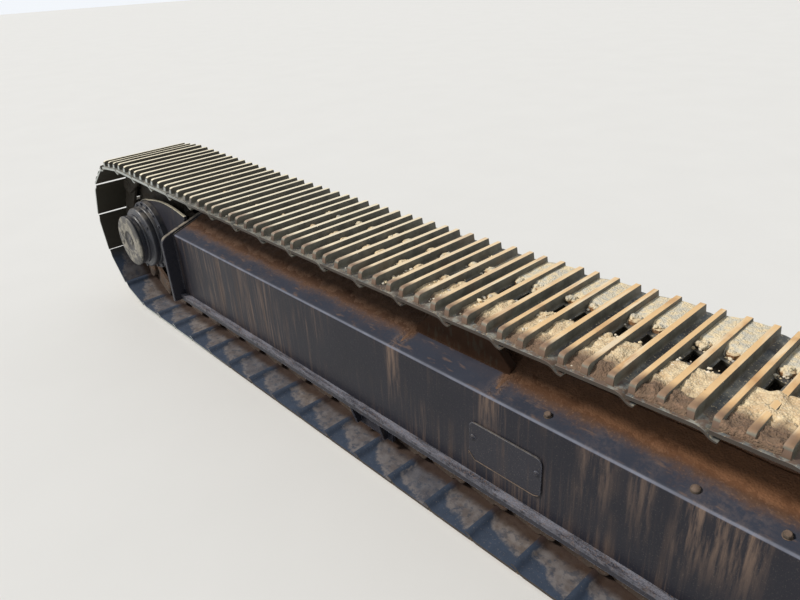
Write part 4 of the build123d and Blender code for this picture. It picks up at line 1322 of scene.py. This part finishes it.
def cheek_shape(side, bore):
    """A round-ended plate beside the drive, sampled at even angles about the bore. Its top edge is a
    half sine wave over its straight line, found by going back and forth between edge and height."""
    reach = END_PLATE_X + HALF_LENGTH
    corner = math.atan2(CHEEK_RADIUS, reach)
    angle = np.sort(np.append(np.linspace(-np.pi, np.pi, 96, endpoint=False), [corner, -corner]))
    crown = CHEEK_RADIUS
    for _ in range(13):
        straight = np.minimum(crown / np.maximum(np.abs(np.sin(angle)), 1e-6),
                              reach / np.maximum(np.cos(angle), 1e-6))
        share = np.clip(straight * np.cos(angle) / reach, 0, 1)
        crown = CHEEK_RADIUS + CHEEK_CROWN * np.sin(np.pi * share) * (np.sin(angle) > 0)
    distance = np.where(np.cos(angle) > 0, straight, CHEEK_RADIUS)
    circle = np.column_stack([np.cos(angle), np.sin(angle)])
    shape = plate(circle * distance[:, None], CHEEK_INNER, CHEEK_OUTER, 0.0018, circle * bore)
    if side > 0:
        shape = Shape(shape.points * [1, 1, -1], shape.faces).flipped()
    return on_axis(shape)


def rail_shape():
    """The outer slide rail: a bar with a flat worn top and a sloped end each way, sunk to the roof."""
    low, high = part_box("top_rails_idler_end")
    top = high.z
    foot = roof_height(0.076) - 0.002
    outline = [(low.x, foot), (high.x, foot), (high.x, top - RAIL_SLOPE), (high.x - RAIL_SLOPE, top),
               (low.x + RAIL_SLOPE, top), (low.x, top - RAIL_SLOPE)]
    bar = plate(rounded(np.array(outline), 0.004, 3), RAIL_INNER, RAIL_OUTER, 0.002)
    return bar.moved((0, CHAIN_Y, 0), OUTWARD)


class TRACKUNIT_OT_box_details(bpy.types.Operator):
    """Access cover with its bolts and dirt line, roof bolts and weld beads on the frame box"""

    bl_idname = "trackunit.box_details"
    bl_label = "Frame box details"

    def execute(self, context):
        colours = look()
        paint = paint_material(colours)
        low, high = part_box("access_cover")
        outline = rounded(rectangle(low.x, high.x, low.z, high.z), LID_CORNER, 7)
        lid = plate(outline, -low.y - LID_THICKNESS, -low.y, 0.0012).moved(turn=OUTWARD)
        bolt_z = (low.z + high.z) / 2 + 0.013
        spots = [(low.x + 0.015, low.y, bolt_z), (high.x - 0.015, low.y, bolt_z)]
        small = lathe([(0.0085, -0.0005), (0.0085, 0.0022), (0.0062, 0.0045), (0.0030, 0.0056)], 14)
        lid = joined([lid, small.placed(spots, OUTWARD)])
        rim = [(low.x - 0.001, high.z - 0.12), (low.x - 0.001, low.z + LID_CORNER),
               (low.x + LID_CORNER, low.z - 0.001), (high.x - LID_CORNER, low.z - 0.001),
               (high.x - 0.006, low.z + 0.006)]
        dirt = bead([(x, low.y - 0.0006, z) for x, z in rim], 0.0016)
        lid_paint = paint_material(colours, "lid_paint", 0.25)
        piece("access_lid", lid, lid_paint, 30, ["access_cover"])
        rusty = [bolt_material(colours, name, colours.streak, colours.rust_dust)
                 for name in ("lid_soil", "roof_bolt_steel")]
        piece("lid_dirt", dirt, rusty[0], 60)
        piece("roof_bolts", roof_bolts(), rusty[1], 30)
        piece("weld_beads", weld_beads(), paint, 60)
        return {"FINISHED"}


def roof_height(across):
    """The roof's height at this distance from the chain's middle."""
    return FOLD_Z + (HALF_WIDTH - abs(across)) * ROOF_RISE


def roof_bolts():
    """Two hexagon bolts with a domed one between them near the fold, and the same on the other side."""
    rise, run = math.sin(ROOF_SLOPE), math.cos(ROOF_SLOPE)
    tilt = np.array([[1.0, 0, 0], [0, run, -rise], [0, rise, run]])
    places = [(along - HALF_LENGTH, CHAIN_Y - ROOF_BOLT_ACROSS, roof_height(ROOF_BOLT_ACROSS) - 0.0005)
              for along in ROOF_BOLT_STATIONS]
    small = bolt_head(0.017, 0.009, 0.0015).placed([places[0], places[2]], tilt)
    dome = lathe([(0.0118, -0.001), (0.0118, 0.003), (0.0104, 0.0068), (0.0070, 0.0093),
                  (0.0028, 0.0100)], 20)
    return mirrored(joined([small, dome.moved(places[1], tilt)]))


def rail_beads():
    """Beads along both feet of the outer slide rail."""
    low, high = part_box("top_rails_idler_end")
    return joined([
        bead([(x, CHAIN_Y - across, roof_height(across)) for x in (low.x, high.x)], 0.0035, 3)
        for across in (RAIL_OUTER, RAIL_INNER)
    ])


def weld_beads():
    """Beads where the box and the cheeks meet the plates at their ends, and round the brackets' ends."""
    wall = -HALF_WIDTH
    runs = []
    for x, size in ((BOX_START, 0.0050), (BOX_END, 0.0045)):
        runs.append(([(x, wall, FLANGE_TOP + 0.022), (x, wall, FOLD_Z - 0.010),
                      (x, wall + 0.003, FOLD_Z - 0.001), (x, wall + 0.012, roof_height(0.153)),
                      (x, 0.0, roof_height(0.0))], size))
    runs.append(([(END_PLATE_X, -0.091, AXIS_Z - 0.17), (END_PLATE_X, -0.091, AXIS_Z + 0.17)], 0.0045))
    both = mirrored(joined([bead(np.array(path) + [0, CHAIN_Y, 0], size, 3) for path, size in runs]))
    frames = []
    for name in ("chassis_bracket_drive_end", "chassis_bracket_idler_end"):
        low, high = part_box(name)
        middle, z = (low.x + high.x) / 2, (low.z + high.z) / 2
        for y in (low.y, high.y - 0.025):
            loop = [(-0.13, -0.10), (0.13, -0.10), (0.13, 0.10), (-0.13, 0.10), (-0.13, -0.099)]
            frames.append(bead([(middle + a, y, z + b) for a, b in loop], 0.005, 5))
    return joined([both, *frames])


class TRACKUNIT_OT_soil(bpy.types.Operator):
    """Dry soil between the bars of the nearer shoes, caked bolts, loose stones and soil on the roof"""

    bl_idname = "trackunit.soil"
    bl_label = "Soil and stones"

    def execute(self, context):
        detail = context.scene.track_unit_detail
        soil = soil_material(look())
        piece("shoe_soil", shoe_soil(detail), soil, 70)
        piece("bolt_cakes", bolt_cakes(detail), soil, 60)
        piece("loose_stones", loose_stones(detail), stone_material(look()), 40)
        piece("roof_soil", roof_soil(), roof_soil_material(look()), 70)
        return {"FINISHED"}


def upper_links():
    """Indices of the links on the upper run between the wheels."""
    flat = (LINK_TURNS[:, 2, 2] > 0.98) & (LINK_MIDDLES[:, 1] > AXIS_Z)
    return np.flatnonzero(flat & (np.abs(LINK_MIDDLES[:, 0]) < HALF_LENGTH - 0.05))


def shoe_height(across):
    """The upper face of a shoe's plate, the same at every place across."""
    return np.full_like(across, FACE_TO_PIN + PLATE)


def fill_share(x, start):
    """How full of soil a shoe at x is, from 0 at the start to 1 well towards the idler."""
    return ramp(x, start, FILL_REACH)


def shoe_soil(detail):
    """Beds from the first to the third bar on each nearer shoe, on both sides of the relief holes and
    lower at the first bar. The outer one's depth is a ramp across the shoe times a random level, plus
    ripples, and on the nearest shoes the other one is a flat deposit."""
    rng = np.random.default_rng(detail.soil_seed)
    beds = []
    along = SHOE_START + np.linspace(*BED_SPAN, 26)
    for link in upper_links():
        middle = LINK_ORIGINS[link]
        share = fill_share(middle[0], detail.soil_start)
        deposit = ramp(middle[0], 0.25, 0.30) * rng.uniform(0.50, 0.80)
        level = share * rng.uniform(0.78, 1.1)
        start, stop = -0.130 - 0.090 * share + rng.uniform(-0.01, 0.01), rng.uniform(-0.062, -0.030)
        if share <= 0.05:
            continue

        def thick(x, y):
            """The bed's depth at a place on this shoe, negative where the plate is bare."""
            place = np.stack([x + middle[0], y, np.zeros_like(x)], -1)
            inner = ramp(y, 0.045, 0.03) * ramp(y, 0.2150, -0.005)
            outer = ramp(y, start - 0.0225, 0.045) * ramp(y, stop + 0.018, -0.036)
            cover = np.maximum(outer * level, inner * deposit)
            lumps = ripples(place, (0.055, 0.017, 0.007), (0.0040, 0.0020, 0.0009), 5) * (1 - 0.75 * inner)
            clods = ripples(place, (0.030, 0.010), (0.0035, 0.0020), 8)
            lumps = lumps + clods * ramp(y, -0.110, -0.03) * share
            lift = 0.70 + 0.35 * ramp(x, along[0], 0.045)
            cap = np.interp(y, (-0.16, -0.12), (0.023, 0.030))
            return np.minimum(cover * detail.soil_depth * lift * 1.15, cap) + lumps * (0.4 + cover) - 0.0042

        for across in (np.linspace(-BED_EDGE, -HOLE_SIDE, 38), np.linspace(HOLE_SIDE, BED_EDGE, 30)):
            one = bed(along, across, shoe_height, thick)
            beds.append(one.moved(middle, LINK_TURNS[link]))
    return joined(beds)


def bolt_cakes(detail):
    """Lumps of soil over the bolt heads, larger and more of them towards the idler end."""
    rng = np.random.default_rng(detail.soil_seed + 1)
    places, sizes = [], []
    heads = [(start, across) for start in VALLEYS for across in (-LINK_GAUGE, LINK_GAUGE) for _ in range(3)]
    for link in upper_links():
        share = fill_share(LINK_ORIGINS[link, 0], CAKE_START)
        for start, across in heads:
            if rng.random() > 0.35 + 0.6 * share:
                continue
            spot = np.array([SHOE_START + start, across, FACE_TO_PIN + PLATE + 0.008])
            spot += rng.normal(0, 1, 3) * [0.005, 0.007, 0.003]
            places.append(LINK_TURNS[link] @ spot + LINK_ORIGINS[link])
            sizes.append(rng.uniform(0.004, 0.009) * (0.85 + 0.55 * share ** 2))
    return stones(places, sizes, detail.soil_seed, (1.05, 1.15, 0.68))


def loose_stones(detail):
    """Small stones lying between the bars, mostly on the nearer shoes and by the relief holes."""
    rng = np.random.default_rng(detail.soil_seed + 2)
    links = upper_links()
    weights = 0.02 + fill_share(LINK_MIDDLES[links, 0], STONE_START) ** 2
    count = detail.stone_count
    chosen = rng.choice(links, count, p=weights / weights.sum())
    valley = np.where(rng.random(count) < 0.5, *VALLEYS)
    across = np.where(rng.random(count) < 0.5, rng.normal(-0.05, 0.06, count), rng.uniform(-0.2, 0.2, count))
    beside = across + np.sign(across + 0.01) * 0.045
    across = np.clip(np.where(np.abs(across) < HOLE_SIDE, beside, across), -0.205, 0.205)
    size = rng.uniform(0.0018, 0.0055, count) * (1 + 0.6 * (rng.random(count) < 0.06))
    height = FACE_TO_PIN + PLATE + size * 0.6
    spots = np.column_stack([SHOE_START + valley + rng.uniform(-0.016, 0.016, count), across, height])
    share = fill_share(LINK_MIDDLES[chosen, 0], detail.soil_start)
    spots[:, 2] += share * 0.011 * (np.abs(across + 0.09) < 0.07)
    places = np.einsum("kij,kj->ki", LINK_TURNS[chosen], spots) + LINK_ORIGINS[chosen]
    return stones(places, size, detail.soil_seed + 3)


def roof_soil():
    """Soil that has settled on both halves of the roof under the chain, thin and broken near the fold,
    with two ridges at the ends of the strip beside the rails."""
    along = np.linspace(BOX_START + 0.004, BOX_END - 0.004, 560)
    across = np.linspace(0.148, 0.004, 26)

    def thick(x, y):
        """Depth of the soil: a ramp towards the middle, ripples, and ridges beside the clean strip."""
        place = np.stack([x, y, np.zeros_like(x)], -1)
        drive = x + HALF_LENGTH
        strip = (drive > CLEAN_STRIP[0] - 0.010) & (drive < CLEAN_STRIP[1] + 0.010) & (y > 0.070)
        ridge = sum(np.exp(-((drive - at) / 0.007) ** 2) for at in RIDGE_STATIONS)
        lumps = ripples(place, (0.10, 0.028, 0.011), (0.0022, 0.0014, 0.0007), 21)
        lumps = lumps * ramp(y, 0.108, -0.03)
        depth = ramp(y, 0.092, -0.06) * 0.0050 + ridge * 0.0030 * ramp(y, 0.150, -0.03)
        depth = depth + lumps - 0.0016
        return np.where(strip, np.minimum(depth, -0.001), depth)

    outer = bed(along, across, roof_height, thick)
    return mirrored(outer.moved((0, CHAIN_Y, 0)))


class TRACKUNIT_OT_stage(bpy.types.Operator):
    """Pale floor, lamps, world and the camera at the photographed angle"""

    bl_idname = "trackunit.stage"
    bl_label = "Stage"

    def execute(self, context):
        view = context.scene.track_unit_view
        stage_floor()
        stage_lights(view)
        stage_camera(view)
        context.scene.view_settings.view_transform = "Standard"
        return {"FINISHED"}


def stage_floor():
    """A wide pale disc at z 0."""
    sides, radius = 64, 40.0
    angle = np.linspace(0, 2 * np.pi, sides, endpoint=False)
    points = np.column_stack([radius * np.cos(angle), radius * np.sin(angle), 0 * angle])
    mesh = bpy.data.meshes.new("floor")
    mesh.from_pydata(points.tolist(), [], [list(range(sides))])
    f = Finish("floor_pale")
    f.base = f.mix(f.noise(2.0, 4.0), (0.74, 0.73, 0.71), (0.78, 0.77, 0.75))
    mesh.materials.append(f.done(0.9))
    floor = bpy.data.objects.new("floor", mesh)
    bpy.context.scene.collection.objects.link(floor)


def stage_lights(view):
    """A soft sun over the drive end on the outer side, and a pale world that is brighter where the
    camera or a reflection sees it than where it lights."""
    lamp = bpy.data.lights.new("key", "SUN")
    lamp.energy = view.key
    lamp.angle = math.radians(9)
    lamp.color = (1.0, 0.96, 0.90)
    key = bpy.data.objects.new("key", lamp)
    towards = Vector((-0.70, -0.80, 1.0))
    key.rotation_euler = towards.to_track_quat("Z", "Y").to_euler()
    bpy.context.scene.collection.objects.link(key)
    world = bpy.data.worlds.new("pale_world")
    world.use_nodes = True
    bpy.context.scene.world = world
    tree = world.node_tree
    sky = tree.nodes["Background"]
    sky.inputs["Strength"].default_value = view.sky
    sky.inputs["Color"].default_value = (0.86, 0.93, 1.0, 1.0)
    start = Shade(tree, None)
    rays = [start.node("ShaderNodeLightPath", {}, {}, name)
            for name in ("Is Camera Ray", "Is Glossy Ray", "Is Transmission Ray")]
    seen = (rays[0] + rays[1] + rays[2]).at_most(1.0)
    back = start.node("ShaderNodeBackground", {}, {"Color": (0.9, 0.93, 0.97, 1.0), "Strength": 1.0})
    soft = Shade(tree, sky.outputs[0])
    shown = start.node("ShaderNodeMixShader", {}, {0: seen, 1: soft, 2: back})
    tree.links.new(shown.socket, tree.nodes["World Output"].inputs["Surface"])


def stage_camera(view):
    """The camera stands at its place and looks along yaw and pitch, rolled about its own axis."""
    yaw, pitch, roll = view.yaw, view.pitch, view.roll
    ahead = Vector((math.cos(pitch) * math.cos(yaw), math.cos(pitch) * math.sin(yaw), math.sin(pitch)))
    level = ahead.cross(Vector((0, 0, 1))).normalized()
    above = level.cross(ahead)
    right = level * math.cos(roll) + above * math.sin(roll)
    up = above * math.cos(roll) - level * math.sin(roll)
    turn = Matrix((right, up, -ahead)).transposed()
    data = bpy.data.cameras.new("camera")
    data.sensor_fit = "HORIZONTAL"
    data.sensor_width = 36.0
    data.lens = data.sensor_width * view.focal_share
    camera = bpy.data.objects.new("camera", data)
    camera.matrix_world = Matrix.Translation(Vector(view.place)) @ turn.to_4x4()
    bpy.context.scene.collection.objects.link(camera)
    bpy.context.scene.camera = camera


class TRACKUNIT_OT_finishes(bpy.types.Operator):
    """Materials for the CAD nodes that stay in view"""

    bl_idname = "trackunit.finishes"
    bl_label = "Finishes"

    def execute(self, context):
        colours = look()
        dress(["frame_box"], frame_material(colours))
        dress(["sole_plate_outer", "sole_plate_inner", "front_plate", "idler_slide_outer",
               "idler_slide_inner", "idler_yoke", "chain_guide_outer", "chain_guide_inner",
               "chassis_bracket_drive_end", "chassis_bracket_idler_end"], paint_material(colours))
        return {"FINISHED"}


OPERATORS = (
    TRACKUNIT_OT_finishes, TRACKUNIT_OT_shoes, TRACKUNIT_OT_bolts, TRACKUNIT_OT_links, TRACKUNIT_OT_drive,
    TRACKUNIT_OT_idler, TRACKUNIT_OT_rollers, TRACKUNIT_OT_plates, TRACKUNIT_OT_box_details,
    TRACKUNIT_OT_soil, TRACKUNIT_OT_stage,
)


class TRACKUNIT_PT_panel(bpy.types.Panel):
    """Buttons for the unit's pieces"""

    bl_label = "Track unit"
    bl_idname = "TRACKUNIT_PT_panel"
    bl_space_type = "VIEW_3D"
    bl_region_type = "UI"
    bl_category = "Track unit"

    def draw(self, context):
        for operator in OPERATORS:
            self.layout.operator(operator.bl_idname)


CLASSES = (TrackUnitLook, TrackUnitDetail, TrackUnitView, *OPERATORS, TRACKUNIT_PT_panel)


def register():
    """Registers the classes and hangs the settings on the scene."""
    for item in CLASSES:
        bpy.utils.register_class(item)
    bpy.types.Scene.track_unit_look = PointerProperty(type=TrackUnitLook)
    bpy.types.Scene.track_unit_detail = PointerProperty(type=TrackUnitDetail)
    bpy.types.Scene.track_unit_view = PointerProperty(type=TrackUnitView)


def unregister():
    """Takes the settings and the classes away again."""
    del bpy.types.Scene.track_unit_view
    del bpy.types.Scene.track_unit_detail
    del bpy.types.Scene.track_unit_look
    for item in reversed(CLASSES):
        bpy.utils.unregister_class(item)


def main():
    """Builds every piece in order."""
    register()
    for operator in OPERATORS:
        group, name = operator.bl_idname.split(".")
        getattr(getattr(bpy.ops, group), name)()


if __name__ == "__main__":
    main()
